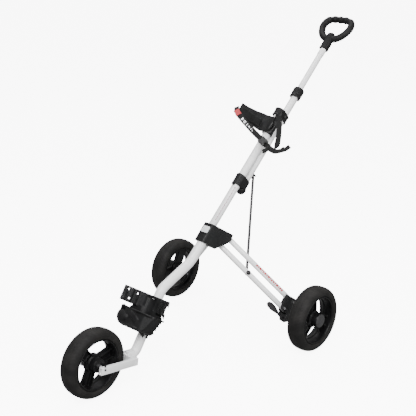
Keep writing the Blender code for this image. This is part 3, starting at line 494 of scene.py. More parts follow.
def moulded(name, adds, cuts=(), voxel=0.0012, relax=4):
    """One moulding: the shapes fused, the cuts taken out, and every edge eased."""
    bm = joined(adds)
    mesh = bpy.data.meshes.new(name)
    bm.to_mesh(mesh)
    bm.free()
    made = placed(name, mesh)
    fuse(made, voxel)
    settle(made)
    tools = []
    for number, cut in enumerate(cuts):
        tool = object_of(cut, f"{name}_cut_{number}", 0)
        step = made.modifiers.new("cut", "BOOLEAN")
        step.solver = "MANIFOLD"
        step.operation = "DIFFERENCE"
        step.object = tool
        tools.append(tool)
    if tools:
        fuse(made, voxel)
    ease = made.modifiers.new("ease", "SMOOTH")
    ease.factor = 0.5
    ease.iterations = relax
    settle(made)
    for tool in tools:
        bpy.data.objects.remove(tool)
    made.data.shade_smooth()
    return made


def eased(thing, width, segments=3, angle=35):
    """Rounds an object's sharp edges."""
    bevel = thing.modifiers.new("ease", "BEVEL")
    bevel.width = width
    bevel.segments = segments
    bevel.limit_method = "ANGLE"
    bevel.angle_limit = math.radians(angle)
    settle(thing)
    thing.data.shade_smooth()
    thing.data.set_sharp_from_angle(angle=math.radians(50))
    return thing


def mirrored(thing, name):
    """The right-hand copy of a left-hand piece."""
    mesh = thing.data.copy()
    mesh.transform(thing.matrix_world)
    mesh.transform(Matrix.Scale(-1, 4, (1, 0, 0)))
    mesh.flip_normals()
    return placed(name, mesh)


def tube_run(name, start, end, radius, inner, matrix=TUBE, sides=48):
    """A straight tube, closed a little way in from each end, with its ends eased."""
    lip, depth = 0.0006, 0.02
    start, end = Vector(start), Vector(end)
    length = (end - start).length
    profile = [(inner, 0.0), (radius - lip, 0.0), (radius, lip), (radius, length - lip)]
    profile += [(radius - lip, length), (inner, length)]
    profile += [(inner, length - depth), (0.0, length - depth), (0.0, depth), (inner, depth)]
    turn = (end - start).to_track_quat("Z", "Y").to_matrix().to_4x4()
    bm = turned(profile, sides, matrix @ Matrix.Translation(start) @ turn)
    return object_of(bm, name, 50)


def arc(centre, radius, start, end, count):
    points = []
    for i in range(count + 1):
        angle = math.radians(start + (end - start) * i / count)
        points.append((centre[0] + radius * math.cos(angle), centre[1] + radius * math.sin(angle)))
    return points


# Frame tubes


def frame_tubes():
    corners = [
        (0, AXLE_Y - 0.5655, 0.0795),
        BEND_LOW,
        BEND_HIGH,
        (0, AXLE_Y - 0.2646, 0.3146),
        TUBE @ Vector((0, 0, -0.238)),
    ]
    path = rounded_path(corners, (0.03, 0.055, 0.09))
    lower = object_of(sweep(path, LOWER_RADIUS, 48), "frame_lower_tube", 50)
    piece(lower, "frame", WHITE, "white_paint", "lower_frame_tube")
    main = tube_run("frame_main_tube", (0, 0, -0.234), (0, 0, 0.290), MAIN_RADIUS, 0.0122)
    piece(main, "frame", WHITE, "white_paint", "main_tube")
    low, high = Vector((0, UPPER_N, -0.0195)), Vector((0, UPPER_N, 0.400))
    upper = tube_run("sliding_tube", low, high, UPPER_RADIUS, 0.0114)
    piece(upper, "carriage", WHITE, "white_paint", "upper_tube")
    low, high = Vector((0, UPPER_N, 0.218)), Vector((0, UPPER_N, 0.618))
    handle = tube_run("handle_stem", low, high, HANDLE_RADIUS, 0.0092)
    piece(handle, "handle", WHITE, "white_paint", "handle_tube")
    ring = [(0.0111, 0.5760), (0.0121, 0.5766), (0.0123, 0.5790), (0.0123, 0.5990)]
    ring += [(0.0121, 0.6006), (0.0111, 0.6006)]
    ferrule = turned(ring, 48, TUBE @ Matrix.Translation((0, UPPER_N, 0)))
    piece(object_of(ferrule, "handle_ferrule", 50), "handle", WHITE, "white_paint")


def legs():
    end = LEG_LINE * 0.006
    for level, inner, outer in (("upper", UPPER_IN, UPPER_OUT), ("lower", LOWER_IN, LOWER_OUT)):
        name = f"leg_tube_{level}"
        left = tube_run(name + "_left", inner - end, outer + end, LEG_RADIUS, 0.008, LEG, 40)
        right = mirrored(left, name + "_right")
        piece(left, f"leg_{level}_left", WHITE, "white_paint", f"leg_{level}_left")
        piece(right, f"leg_{level}_right", WHITE, "white_paint", f"leg_{level}_right")


frame_tubes()
legs()


# Fork

FORK_TILT = math.atan2(0.0255, 0.1467)
FORK = Matrix.Translation((0, AXLE_Y - 0.566, 0.0775)) @ Matrix.Rotation(-FORK_TILT, 4, "X")


def fork():
    ribs = []
    for k in range(-3, 4):
        x = k / 100
        ribs.append(block((x - 0.0012, -0.0188, 0.010), (x + 0.0012, -0.0006, 0.0142), FORK))
    crown = moulded("fork_bridge", [cad("fork_crown")] + ribs, voxel=0.001, relax=3)
    piece(crown, "frame", WHITE, "white_paint", "fork_crown")
    for side, sign in (("left", 1), ("right", -1)):
        low, high = sorted((sign * 0.040, sign * 0.052))
        arm = object_of(block((low, -0.158, -0.012), (high, -0.0183, 0.012), FORK), "fork_blank")
        groove_low, groove_high = sorted((sign * 0.0415, sign * 0.0505))
        room = object_of(
            block((groove_low, -0.17, -0.0095), (groove_high, -0.150, 0.0095), FORK), "fork_room"
        )
        cut = arm.modifiers.new("cut", "BOOLEAN")
        cut.object = room
        settle(arm)
        bpy.data.objects.remove(room)
        eased(arm, 0.0016)
        arm.name = f"fork_bar_{side}"
        piece(arm, "frame", WHITE, "white_paint", f"fork_arm_{side}")
        face = sign * 0.0523
        for place in ("upper", "lower"):
            low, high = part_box(f"fork_screw_{place}_{side}")
            y, z = (low.y + high.y) / 2, (low.z + high.z) / 2
            profile = [(0.0, 0.0024), (0.0022, 0.0023), (0.0031, 0.0017), (0.0034, 0.0008)]
            profile += [(0.0034, 0.0), (0.0, 0.0)]
            turn = Matrix.Translation((face, y, z)) @ Matrix.Rotation(sign * math.pi / 2, 4, "Y")
            screw = object_of(turned(profile, 24, turn), f"fork_bolt_{place}_{side}", 60)
            piece(screw, "frame", BOLT_BLACK, "black_plastic", f"fork_screw_{place}_{side}")


fork()


# Wheels

TREAD_STEPS = 480
TREAD_BARS = 60


def tyre_profile():
    """Half of the tyre's outside from the middle of the tread to the bead, as (x, radius)."""
    half = [(0.0, 0.1150), (0.003, 0.1150), (0.006, 0.1149), (0.009, 0.1147), (0.012, 0.1143)]
    half += [(0.015, 0.1138), (0.018, 0.1130), (0.0208, 0.1119), (0.0235, 0.1103)]
    half += [(0.0262, 0.1079), (0.0284, 0.1048), (0.0299, 0.1010), (0.0306, 0.0985)]
    half += [(0.0309, 0.0975), (0.0304, 0.0966), (0.0308, 0.0957), (0.0309, 0.0930)]
    half += [(0.0305, 0.0905), (0.0296, 0.0888), (0.0290, 0.0880), (0.0292, 0.0872)]
    half += [(0.0285, 0.0860), (0.0262, 0.0850)]
    return half


def tread_depth(x, turn):
    """How far the tread is cut in: slanted sipes off a wavy middle rib."""
    wide = abs(x)
    if wide > 0.0265:
        return 0.0
    slant = turn * TREAD_BARS + wide * 62 + (0.5 if x < 0 else 0)
    bar = abs((slant % 1) - 0.5) * 2
    sipe = max(0.0, 1 - bar / 0.42) if 0.0045 < wide else 0.0
    fine = abs(((turn * TREAD_BARS * 3 + wide * 150) % 1) - 0.5) * 2
    line = max(0.0, 1 - fine / 0.5) * 0.3 if wide > 0.0045 else 0.0
    rib = max(0.0, 1 - abs(wide - 0.0060) / 0.0018) * 0.8
    fade = min(1.0, (0.0265 - wide) / 0.004)
    return 0.0010 * max(sipe, line, rib) * fade


def tyre_mesh():
    half = tyre_profile()
    outside = [(-x, r) for x, r in reversed(half[1:])] + half
    profile = outside + [(0.0255, 0.0849), (-0.0255, 0.0849)]
    bm = bmesh.new()
    rings = []
    for i in range(TREAD_STEPS):
        angle = 2 * math.pi * i / TREAD_STEPS
        c, s = math.cos(angle), math.sin(angle)
        ring = []
        for x, radius in profile:
            if radius > 0.1:
                radius -= tread_depth(x, i / TREAD_STEPS)
            ring.append(bm.verts.new((x, radius * c, radius * s)))
        rings.append(ring)
    for ring, after in zip(rings, rings[1:] + rings[:1]):
        for k in range(len(profile)):
            m = (k + 1) % len(profile)
            bm.faces.new((ring[k], ring[m], after[m], after[k]))
    return object_of(bm, "tyre", 180)


def rim_mesh():
    """A deep dished rim: barrel, recessed web with three windows, ribbed spokes and a boss."""
    barrel = [(0.0842, 0.0245), (0.0842, -0.0245), (0.0838, -0.0275), (0.0818, -0.0285)]
    barrel += [(0.0800, -0.0278), (0.0783, -0.0240), (0.0770, -0.0110), (0.0250, -0.0090)]
    barrel += [(0.0225, -0.0300), (0.0080, -0.0310), (0.0080, 0.0308), (0.0232, 0.0308)]
    barrel += [(0.0262, -0.0020), (0.0762, -0.0040), (0.0783, 0.0240), (0.0800, 0.0278)]
    barrel += [(0.0818, 0.0285), (0.0838, 0.0275)]
    upright = Matrix([(0, 0, 1, 0), (1, 0, 0, 0), (0, 1, 0, 0), (0, 0, 0, 1)])
    adds = [turned(barrel, 120, SIDEWAYS)]
    cuts = []
    for i in range(3):
        middle = 90 + 120 * i
        outline = arc((0, 0), 0.0742, middle - 44, middle + 44, 12)
        outline += arc((0, 0), 0.0315, middle + 24, middle - 24, 6)
        cuts.append(plate(outline, -0.03, 0.02, upright))
        for sign in (-1, 1):
            start, end = math.radians(middle + sign * 30), math.radians(middle + sign * 48.5)
            inner = Vector((0.002, 0.0245 * math.cos(start), 0.0245 * math.sin(start)))
            outer = Vector((0.001, 0.0775 * math.cos(end), 0.0775 * math.sin(end)))
            flat = [(-1, -1), (1, -1), (1, 1), (-1, 1)]
            wall = [(x * 0.0085, y * 0.0016) for x, y in flat]
            adds.append(sweep([inner, outer], 1.0, shape=wall, across=(1, 0, 0)))
    ring = [(0.0300, 0.0085), (0.0300, -0.0060), (0.0270, -0.0060), (0.0270, 0.0085)]
    adds.append(turned(ring, 64, SIDEWAYS))
    return moulded("rim", adds, cuts, 0.0013, 3)


def wheels():
    tyre, rim = tyre_mesh(), rim_mesh()
    places = [("front_wheel", Vector((0, FRONT_Y, WHEEL_RADIUS)), 1, -24)]
    places += [("rear_wheel_left", Vector((REAR_X, AXLE_Y, WHEEL_RADIUS)), 1, 65)]
    places += [("rear_wheel_right", Vector((-REAR_X, AXLE_Y, WHEEL_RADIUS)), -1, 35)]
    for name, centre, outward, turn in places:
        spin = Matrix.Rotation(math.radians(turn), 4, "X")
        face = Matrix.Rotation(0 if outward > 0 else math.pi, 4, "Z")
        for kind, source, material, slot in (
            ("tyre", tyre, RUBBER, "black_rubber"),
            ("rim", rim, RIM_BLACK, "black_plastic"),
        ):
            mesh = source.data.copy()
            mesh.transform(Matrix.Translation(centre) @ spin @ face)
            made = placed(f"{name}_{kind}_visual", mesh)
            piece(made, name, material, slot, f"{name}_{kind}")
    bpy.data.objects.remove(tyre)
    bpy.data.objects.remove(rim)
    for side, sign in (("left", 1), ("right", -1)):
        profile = [(0.0, 0.0368), (0.0150, 0.0366), (0.0205, 0.0360), (0.0232, 0.0346)]
        profile += [(0.0240, 0.0330), (0.0240, 0.0318), (0.0, 0.0318)]
        turn = Matrix.Translation((sign * REAR_X, AXLE_Y, WHEEL_RADIUS))
        turn = turn @ Matrix.Rotation(sign * math.pi / 2, 4, "Y")
        cap = object_of(turned(profile, 64, turn), f"hub_cover_{side}", 60)
        piece(cap, f"rear_wheel_{side}", GREY, "grey_plastic", f"hub_cap_{side}")


wheels()


# Hub


def both_sides(shapes):
    """The shapes and their mirror images."""
    made = []
    for shape in shapes:
        other = shape.copy()
        other.transform(Matrix.Scale(-1, 4, (1, 0, 0)))
        bmesh.ops.reverse_faces(other, faces=other.faces)
        made += [shape, other]
    return made


def hub():
    ridge = block((-0.0165, -0.0228, -0.2530), (0.0165, -0.0205, -0.2512))
    panel = block((-0.0150, -0.0222, -0.2740), (0.0150, -0.0205, -0.2560))
    bosses = []
    for out, along in ((-0.014, 0.0032), (-0.034, -0.0330)):
        bosses.append(cone((0.0130, out, along), (0.0150, out, along), 0.0062, 0.0056, 32, LEG))
    front = moulded(
        "hub_front",
        [cad("hub_front_shell"), ridge, panel] + both_sides(bosses),
        voxel=0.0011,
        relax=5,
    )
    piece(front, "frame", BLACK, "black_plastic", "hub_front_shell")
    rear = moulded("hub_rear", [cad("hub_rear_shell")], voxel=0.0011, relax=4)
    piece(rear, "frame", BLACK, "black_plastic", "hub_rear_shell")
    face = TUBE @ SWAP_YZ
    outline = []
    corners = ((0.0125, -0.2280), (-0.0085, -0.2280), (-0.0085, -0.2450), (0.0125, -0.2450))
    for number, centre in enumerate(corners):
        outline += arc(centre, 0.0035, 90 * number, 90 * number + 90, 6)
    emblem = object_of(plate(outline, -0.0242, -0.0200, face), "hub_plate", 40)
    eased(emblem, 0.0004, 2)
    piece(emblem, "frame", PALE, "light_grey", "hub_badge")


hub()


# Carriage, guide and lock


def carriage():
    ribs = []
    for n in (0.004, 0.012, 0.020):
        ribs.append(block((0.0165, n - 0.0011, -0.034), (0.0192, n + 0.0011, -0.004)))
    outline = [(-0.006, -0.0205), (0.006, -0.0205), (0.006, -0.0165), (-0.006, -0.0165)]
    tab = plate(outline, -0.046, -0.032)
    collar = cone((0, 0, -0.0015), (0, 0, 0.0030), 0.0195, 0.0188, 48)
    room = cone((0, 0, -0.06), (0, 0, 0.02), 0.0141, sides=48)
    other = cone((0, UPPER_N, -0.0197), (0, UPPER_N, 0.02), 0.0136, sides=48)
    heel = ball((0, 0.0340, -0.0330), 0.0190, stretch=(0.94, 1.0, 1.0))
    adds = [cad("carriage_sleeve"), tab, collar, heel] + both_sides(ribs)
    sleeve = moulded("slide_sleeve", adds, [room, other], 0.0011, 4)
    piece(sleeve, "carriage", BLACK, "black_plastic", "carriage_sleeve")
    anchor = moulded("rod_saddle", [cad("rod_anchor")], voxel=0.0009, relax=3)
    piece(anchor, "carriage", BLACK, "black_plastic", "rod_anchor")


def guide():
    bands = []
    raised = 0.0012
    for low, high in ((0.2655, 0.2685), (0.2890, 0.2925)):
        bands.append(cone((0, 0, low), (0, 0, high), 0.0195 + raised, sides=48))
        bands.append(cone((0, UPPER_N, low), (0, UPPER_N, high), 0.0182 + raised, sides=48))
    rooms = [cone((0, UPPER_N, 0.2), (0, UPPER_N, 0.35), 0.0139, sides=48)]
    rooms += [cone((0, 0, 0.2), (0, 0, 0.2903), 0.0142, sides=48)]
    button_n, button_s = 0.0151, 0.279
    rooms += [cone((0.0105, button_n, button_s), (0.03, button_n, button_s), 0.0053)]
    made = moulded("tube_guide", [cad("top_guide")] + bands, rooms, 0.0011, 4)
    piece(made, "frame", BLACK, "black_plastic", "top_guide")
    profile = [(0.0, 0.0088), (0.0030, 0.0087), (0.0044, 0.0080), (0.0049, 0.0068)]
    profile += [(0.0049, 0), (0, 0)]
    turn = TUBE @ Matrix.Translation((0.014, button_n, button_s)) @ SIDEWAYS
    button = object_of(turned(profile, 32, turn), "release_button", 60)
    piece(button, "latch", GREY, "grey_plastic", "latch_button")


def lock():
    adds = [cad("handle_lock")]
    for i in range(16):
        turn = TUBE @ Matrix.Translation((0, UPPER_N, 0)) @ Matrix.Rotation(i * math.pi / 8, 4, "Z")
        ridge = ((0.0192, 0, 0.3870), (0.0192, 0, 0.4070))
        adds.append(cone(*ridge, 0.0016, 0.0014, 12, turn))
    rooms = [cone((0, UPPER_N, 0.36), (0, UPPER_N, 0.4004), 0.0139, sides=48)]
    rooms += [cone((0, UPPER_N, 0.36), (0, UPPER_N, 0.43), 0.0113, sides=48)]
    made = moulded("twist_lock", adds, rooms, 0.0011, 3)
    piece(made, "lock_ring", BLACK, "black_plastic", "handle_lock")


carriage()
guide()
lock()


# Handle


def handle():
    half = [(0.0, 0.652), (0.021, 0.6555), (0.039, 0.667), (0.0515, 0.684), (0.0590, 0.704)]
    half += [(0.0585, 0.7225), (0.0490, 0.7380), (0.0300, 0.7450), (0.0, 0.7464)]
    ring = half + [(-x, s) for x, s in reversed(half[1:-1])]
    loop = smooth_path([TUBE @ Vector((x, UPPER_N, s)) for x, s in ring], 12, cyclic=True)
    bar_radius, bump_height, bump_pitch, bumps_above = 0.0131, 0.0013, 0.024, 0.7345
    back = TUBE.inverted()
    radii = []
    for place in loop:
        local = back @ place
        bumps = 0.0
        if local.z > bumps_above:
            bumps = bump_height * math.cos(local.x * 2 * math.pi / bump_pitch) - 0.0006
        radii.append(bar_radius + bumps)
    angles = [2 * math.pi * k / 28 for k in range(28)]
    oval = [(math.cos(a), 0.97 * math.sin(a)) for a in angles]
    adds = [sweep(loop, radii, cyclic=True, shape=oval)]
    neck = [(0.0, 0.6800), (0.0085, 0.6780), (0.0160, 0.6710), (0.0178, 0.6590), (0.0155, 0.6400)]
    neck += [(0.0148, 0.6300), (0.0156, 0.6120), (0.0162, 0.6015), (0.0, 0.6015)]
    centre = TUBE @ Matrix.Translation((0, UPPER_N, 0))
    adds.append(turned(neck, 48, centre))
    adds.append(block((-0.0172, UPPER_N - 0.0085, 0.6030), (0.0172, UPPER_N + 0.0085, 0.6360)))
    cuts = []
    for s in (0.6120, 0.6200, 0.6280):
        for sign in (-1, 1):
            low, high = sorted((sign * 0.0150, sign * 0.03))
            corners = ((low, UPPER_N - 0.02, s - 0.0018), (high, UPPER_N + 0.02, s + 0.0018))
            cuts.append(block(*corners))
    for x in (-0.0060, 0, 0.0060):
        for sign in (-1, 1):
            low, high = sorted((UPPER_N + sign * 0.0128, UPPER_N + sign * 0.03))
            cuts.append(block((x - 0.0013, low, 0.6080), (x + 0.0013, high, 0.6330)))
    cuts.append(cone((0, UPPER_N, 0.58), (0, UPPER_N, 0.6186), 0.0112, sides=40))
    grip = moulded("loop_grip", adds, cuts, 0.0011, 4)
    piece(grip, "handle", SOFT_BLACK, "black_plastic", "handle_grip")


handle()


# Bag bracket


def tray_lips():
    """Rolled edges round the tray's rim and round its floor."""
    rim = [(0.094, -0.0262), (0.092, -0.045), (0.076, -0.068), (0.045, -0.082), (0, -0.0865)]
    rim += [(-x, n) for x, n in reversed(rim[:-1])]
    lips = []
    for level, inset in ((0.0020, 0.0095), (-0.0500, 0.0350)):
        points = []
        for x, n in rim:
            points.append(BAG @ Vector((x * (1 - inset / 0.094), n * 1.02, level)))
        lips.append(sweep(smooth_path(points, 6), 0.0032, 12))
    return lips


def diagonal_band():
    """The wide band across the tray's front, down to its lug."""
    band = [(-0.060, -0.0780, 0.0000), (-0.020, -0.0880, -0.0080), (0.018, -0.0860, -0.0240)]
    band += [(0.038, -0.0700, -0.0440), (0.036, -0.0400, -0.0600), (0.0220, -0.0180, -0.0640)]
    flat = [(-0.0085, -0.0020), (0.0085, -0.0020), (0.0085, 0.0020), (-0.0085, 0.0020)]
    run = smooth_path([BAG @ Vector(p) for p in band], 8)
    return sweep(run, 1.0, shape=flat, across=BAG.to_3x3() @ Vector((0.3, 0, 1)))


def teeth_and_ribs():
    """Pointed teeth down each edge of the back plate, and upright ribs on the wings."""
    made = []
    for sign in (1, -1):
        for i in range(4):
            level = -0.044 + 0.0130 * i
            x = sign * (0.0590 + 0.0043 * i)
            tip = (x + sign * 0.0075, -0.0276, level - 0.0035)
            made.append(cone((x, -0.0276, level), tip, 0.0042, 0.001, 8, BAG))
        for i in range(3):
            x = sign * (0.050 + 0.018 * i)
            n = -0.0305 - 0.0085 * i
            made.append(block((x - 0.0014, n - 0.010, 0.018), (x + 0.0014, n + 0.004, 0.066), BAG))
    return made


def bracket_cuts():
    """The room in the tray, the holes in the wings, the slots in the back plate and the bore."""
    cuts = [cone((0, -0.052, -0.0498), (0, -0.052, 0.06), 0.030, 0.034, 40, BAG)]
    cuts.append(ball((-0.038, -0.064, -0.010), 0.031, BAG, (1.0, 0.75, 0.9)))
    for sign in (1, -1):
        for x, s in ((0.088, 0.058), (0.058, 0.055), (0.078, 0.030)):
            cuts.append(cone((sign * x, -0.2, s), (sign * x, 0.1, s), 0.0034, matrix=BAG))
        for i in range(3):
            x = sign * (0.034 + 0.011 * i)
            low, high = x - 0.0030, x + 0.0030
            slot = [(low, -0.030), (high, -0.030), (high, -0.012), (low, -0.012)]
            cuts.append(plate(slot, -0.0320, -0.0235, BAG @ SWAP_YZ))
    cuts.append(cone((0, 0, -0.09), (0, 0, 0.1), 0.0167, sides=48, matrix=BAG))
    return cuts


def bag_bracket():
    adds = [cad("lower_bag_bracket")] + tray_lips() + [diagonal_band()]
    for x in (-0.034, -0.012, 0.012, 0.034):
        adds.append(block((x - 0.0014, -0.074, -0.0590), (x + 0.0014, -0.020, -0.0530), BAG))
    adds.append(ball((0.0213, 0, -0.0665), 0.0042, BAG))
    adds += teeth_and_ribs()
    # The right wing is whole, and the left one ends in two hooks
    wing = [(-0.084, -0.0500), (-0.101, -0.0620), (-0.104, -0.0590), (-0.087, -0.0470)]
    adds.append(plate(wing, 0.020, 0.061, BAG))
    for s, drop in ((0.064, 0.016), (0.022, 0.014)):
        tip = (0.1100, -0.0640, s - drop)
        adds.append(cone((0.0990, -0.0600, s), tip, 0.0055, 0.0012, 10, BAG))
    adds.append(ball((-0.038, -0.066, -0.028), 0.036, BAG, (1.0, 0.75, 0.86)))
    made = moulded("bag_bracket", adds, bracket_cuts(), 0.0013, 3)
    piece(made, "frame", BLACK, "black_plastic", "lower_bag_bracket")
    profile = [(0.0, 0.005), (0.003, 0.0048), (0.0050, 0.0035), (0.0055, 0.0015)]
    profile += [(0.0055, 0), (0, 0)]
    turn = BAG @ Matrix.Translation((0.0240, 0, 0)) @ SIDEWAYS
    bolt = object_of(turned(profile, 28, turn), "bag_bracket_screw", 60)
    piece(bolt, "frame", BOLT_BLACK, "black_plastic", "bag_bracket_bolt")


bag_bracket()


# Upper cradle


def cradle():
    ribs = [cone((0, 0, s), (0, 0, s + 0.003), 0.0200, sides=48) for s in (0.186, 0.247)]
    rooms = [cone((0, UPPER_N, 0.15), (0, UPPER_N, 0.3), 0.0145, sides=48)]
    rooms += [cone((0, 0, 0.15), (0, 0, 0.3), 0.0142, sides=48)]
    adds = [cad("upper_bag_cradle")] + ribs
    made = moulded("bag_yoke", adds, rooms, 0.0012, 4)
    piece(made, "frame", BLACK, "black_plastic", "upper_bag_cradle")
    for side in ("left", "right"):
        pad = moulded(f"yoke_pad_{side}", [cad(f"cradle_pad_{side}")], voxel=0.0013, relax=10)
        piece(pad, "frame", PAD, "foam_pad", f"cradle_pad_{side}")


STRAP = [(-0.0930, -0.1085, 0.2080), (-0.0740, -0.1060, 0.1850), (-0.0210, -0.0690, 0.1580)]
STRAP += [(0.0180, -0.0430, 0.1420), (0.0560, -0.0300, 0.1240), (0.0860, -0.0300, 0.1130)]
STRAP += [(0.1010, -0.0400, 0.1220), (0.1020, -0.0540, 0.1480), (0.0990, -0.0800, 0.1820)]
STRAP += [(0.0940, -0.1060, 0.2080)]
STRAP_ACROSS = (0.35, 0, 1)
# Marks along the strap: first and last step of its path, and how far across they reach
RED_TAB = [(16, 28, -0.0103, 0.0103)]
PALE_DASHES = [(33, 35, -0.0045, 0.0045), (37, 40, -0.0045, -0.0010), (37, 40, 0.0010, 0.0045)]
PALE_DASHES += [(42, 43, -0.0045, 0.0045), (45, 48, -0.0018, 0.0018)]
PALE_DASHES += [(50, 51, -0.0045, 0.0045), (53, 54, -0.0045, 0.0000)]
TAILS = [
    [(0.08, -0.033, 0.115), (0.104, -0.03, 0.113), (0.128, -0.026, 0.129), (0.136, -0.022, 0.148)],
    [(0.076, -0.035, 0.113), (0.1, -0.036, 0.106), (0.122, -0.036, 0.115), (0.131, -0.034, 0.129)],
    [(0.07, -0.034, 0.118), (0.066, -0.037, 0.105), (0.06, -0.038, 0.098), (0.055, -0.036, 0.095)],
]


def ribbon(name, points, width, thickness, across, per_span=8):
    """A webbing strap with eased edges, and a UV map in metres along and across it."""
    path = [TUBE @ p for p in smooth_path(points, per_span)]
    across = (TUBE.to_3x3() @ Vector(across)).normalized()
    w, t = width / 2, thickness / 2
    edge = min(t, 0.0006)
    shape = [(-w, -t + edge), (-w + edge, -t), (0, -t), (w - edge, -t), (w, -t + edge)]
    shape += [(w, t - edge), (w - edge, t), (0, t), (-w + edge, t), (-w, t - edge)]
    bm = sweep(path, 1.0, shape=shape, across=across)
    layer = bm.loops.layers.uv.new("UVMap")
    bm.verts.index_update()
    length = [0.0]
    for start, end in zip(path, path[1:]):
        length.append(length[-1] + (end - start).length)
    for face in bm.faces:
        for loop in face.loops:
            station, k = divmod(loop.vert.index, len(shape))
            loop[layer].uv = (length[station], shape[k][0] + w)
    return object_of(bm, name, 50)


def strap_marks(name, marks, material):
    """Flat patches on the strap's outer side."""
    path = smooth_path(STRAP, 24)
    across = Vector(STRAP_ACROSS).normalized()
    patches = []
    for first, last, low, high in marks:
        along = (path[last] - path[first]).normalized()
        side = (across - along * across.dot(along)).normalized()
        normal = side.cross(along)
        normal = normal if normal.y < 0 else -normal
        axes = Matrix((along, side, normal)).transposed().to_4x4()
        middle = Matrix.Translation(path[(first + last) // 2]) @ axes
        half = (path[last] - path[first]).length / 2
        patches.append(block((-half, low, 0.0005), (half, high, 0.0016), TUBE @ middle))
    piece(object_of(joined(patches), name), "frame", material, "light_grey")


def buckle():
    start, end = Vector(STRAP[3]), Vector(STRAP[4])
    turn = (end - start).normalized().to_track_quat("X", "Z").to_matrix().to_4x4()
    centre = TUBE @ Matrix.Translation((start + end) / 2 + Vector((0, -0.0045, 0))) @ turn
    adds = [block((-0.015, -0.0034, -0.0135), (0.015, 0.0030, 0.0135), centre)]
    for x in (-0.010, -0.005, 0.0, 0.005, 0.010):
        adds.append(block((x - 0.0009, -0.0046, -0.0115), (x + 0.0009, -0.0030, 0.0115), centre))
    cuts = [block((-0.0165, -0.01, -0.0035), (-0.0105, 0.01, 0.0035), centre)]
    cuts += [block((0.0105, -0.01, -0.0035), (0.0165, 0.01, 0.0035), centre)]
    made = moulded("side_buckle", adds, cuts, 0.0008, 3)
    piece(made, "frame", BOLT_BLACK, "black_plastic", "strap_buckle")


def straps():
    strap = ribbon("bag_webbing", STRAP, 0.020, 0.0018, STRAP_ACROSS)
    piece(strap, "frame", WEBBING, "webbing", "bag_strap")
    for number, points in enumerate(TAILS):
        tail = ribbon(f"strap_tail_{number}", points, 0.015, 0.0016, (0.3, 0.35, -0.75))
        piece(tail, "frame", WEBBING, "webbing")
    strap_marks("strap_tab", RED_TAB, RED)
    strap_marks("strap_dashes", PALE_DASHES, PALE)
    buckle()


cradle()
straps()


# Wheel brackets, rods and brake


def brackets():
    axle = Matrix.Translation((0, AXLE_Y, WHEEL_RADIUS))
    for side in ("left", "right"):
        flip = Matrix.Scale(-1, 4, (1, 0, 0)) if side == "right" else Matrix.Identity(4)
        heads = []
        for centre in (UPPER_OUT, LOWER_OUT):
            near, far = centre + Vector((0.0120, 0, 0)), centre + Vector((0.0142, 0, 0))
            heads.append(cone(near, far, 0.0078, 0.0070, 24, LEG))
        rib = [cone((0.268, 0, 0), (0.288, 0, 0), 0.0172, 0.0160, 40, axle)]
        extras = heads + rib
        for shape in extras:
            shape.transform(flip)
        room = cone((0.2748, 0, 0), (0.31, 0, 0), 0.0053, matrix=axle)
        trim = block((0.2930, -0.1, -0.1), (0.35, 0.1, 0.1), axle)
        for shape in (room, trim):
            shape.transform(flip)
        adds = [cad(f"wheel_bracket_{side}")] + extras
        made = moulded(f"leg_end_{side}", adds, [room, trim], 0.0012, 3)
        piece(made, f"bracket_{side}", BLACK, "black_plastic", f"wheel_bracket_{side}")


def stay():
    """The knob bolt on the lower left leg, and the rod from the carriage to it."""
    knob = [(0.0, 0.0056), (0.0036, 0.0054), (0.0064, 0.0042), (0.0078, 0.0022), (0.0078, 0.0)]
    knob += [(0.0022, 0.0), (0.0022, -0.0205), (0.0, -0.0205)]
    turn = Matrix.Translation(KNOB + Vector((0.0101, 0, 0))) @ SIDEWAYS
    bolt = object_of(turned(knob, 32, LEG @ turn), "rod_bolt", 60)
    piece(bolt, "leg_lower_left", BOLT_BLACK, "black_plastic", "knob_bolt_left")
    top = LEG.inverted() @ (TUBE @ ROD_TOP)
    shank = cone(top, KNOB - Vector((ROD_BEHIND, 0, 0)), 0.0046, matrix=LEG)
    rod = moulded("stay_rod", [cad("brace_rod_left"), shank], voxel=0.0011, relax=2)
    piece(rod, "brace_left", BOLT_BLACK, "black_plastic", "brace_rod_left")


def brake():
    made = moulded("brake_lever", [cad("brake_pedal")], voxel=0.0008, relax=5)
    piece(made, "brake", BLACK, "black_plastic", "brake_pedal")


brackets()
stay()
brake()


# Printed marks


def dash(radius, start, end, width):
    """A thin curved patch on a tube about local Z, centred on local X."""
    outer, inner = radius + 0.00012, radius - 0.0002
    bm = bmesh.new()
    rings = []
    for z in (start, end):
        ring = []
        for k in range(5):
            a = (k / 4 - 0.5) * width / radius
            c, s = math.cos(a), math.sin(a)
            ring.append([bm.verts.new((r * c, r * s, z)) for r in (outer, inner)])
        rings.append(ring)
    low, high = rings
    for k in range(4):
        for level, order in ((0, 1), (1, -1)):
            quad = [low[k][level], low[k + 1][level], high[k + 1][level], high[k][level]]
            bm.faces.new(quad[::order])
    for ring in rings:
        for k in range(4):
            bm.faces.new((ring[k][0], ring[k + 1][0], ring[k + 1][1], ring[k][1]))
    for k in (0, 4):
        bm.faces.new((low[k][0], high[k][0], high[k][1], low[k][1]))
    return bm


def print_on_tube(name, body, start, end, radius, toward, dashes, material, matrix):
    """A row of short dashes printed along a tube, on the side that faces the given direction."""
    start, end = Vector(start), Vector(end)
    along = (end - start).normalized()
    facing = Vector(toward)
    facing = (facing - along * facing.dot(along)).normalized()
    axes = Matrix((facing, along.cross(facing), along)).transposed().to_4x4()
    turn = matrix @ Matrix.Translation(start) @ axes
    shapes = []
    place, gap = 0.0, 0.0022
    for length, width in itertools.cycle(dashes):
        if place >= (end - start).length:
            break
        mark = dash(radius, place, place + length, width)
        mark.transform(turn)
        shapes.append(mark)
        place += length + gap
    made = object_of(joined(shapes), name, 40)
    piece(made, body, material, "light_grey")


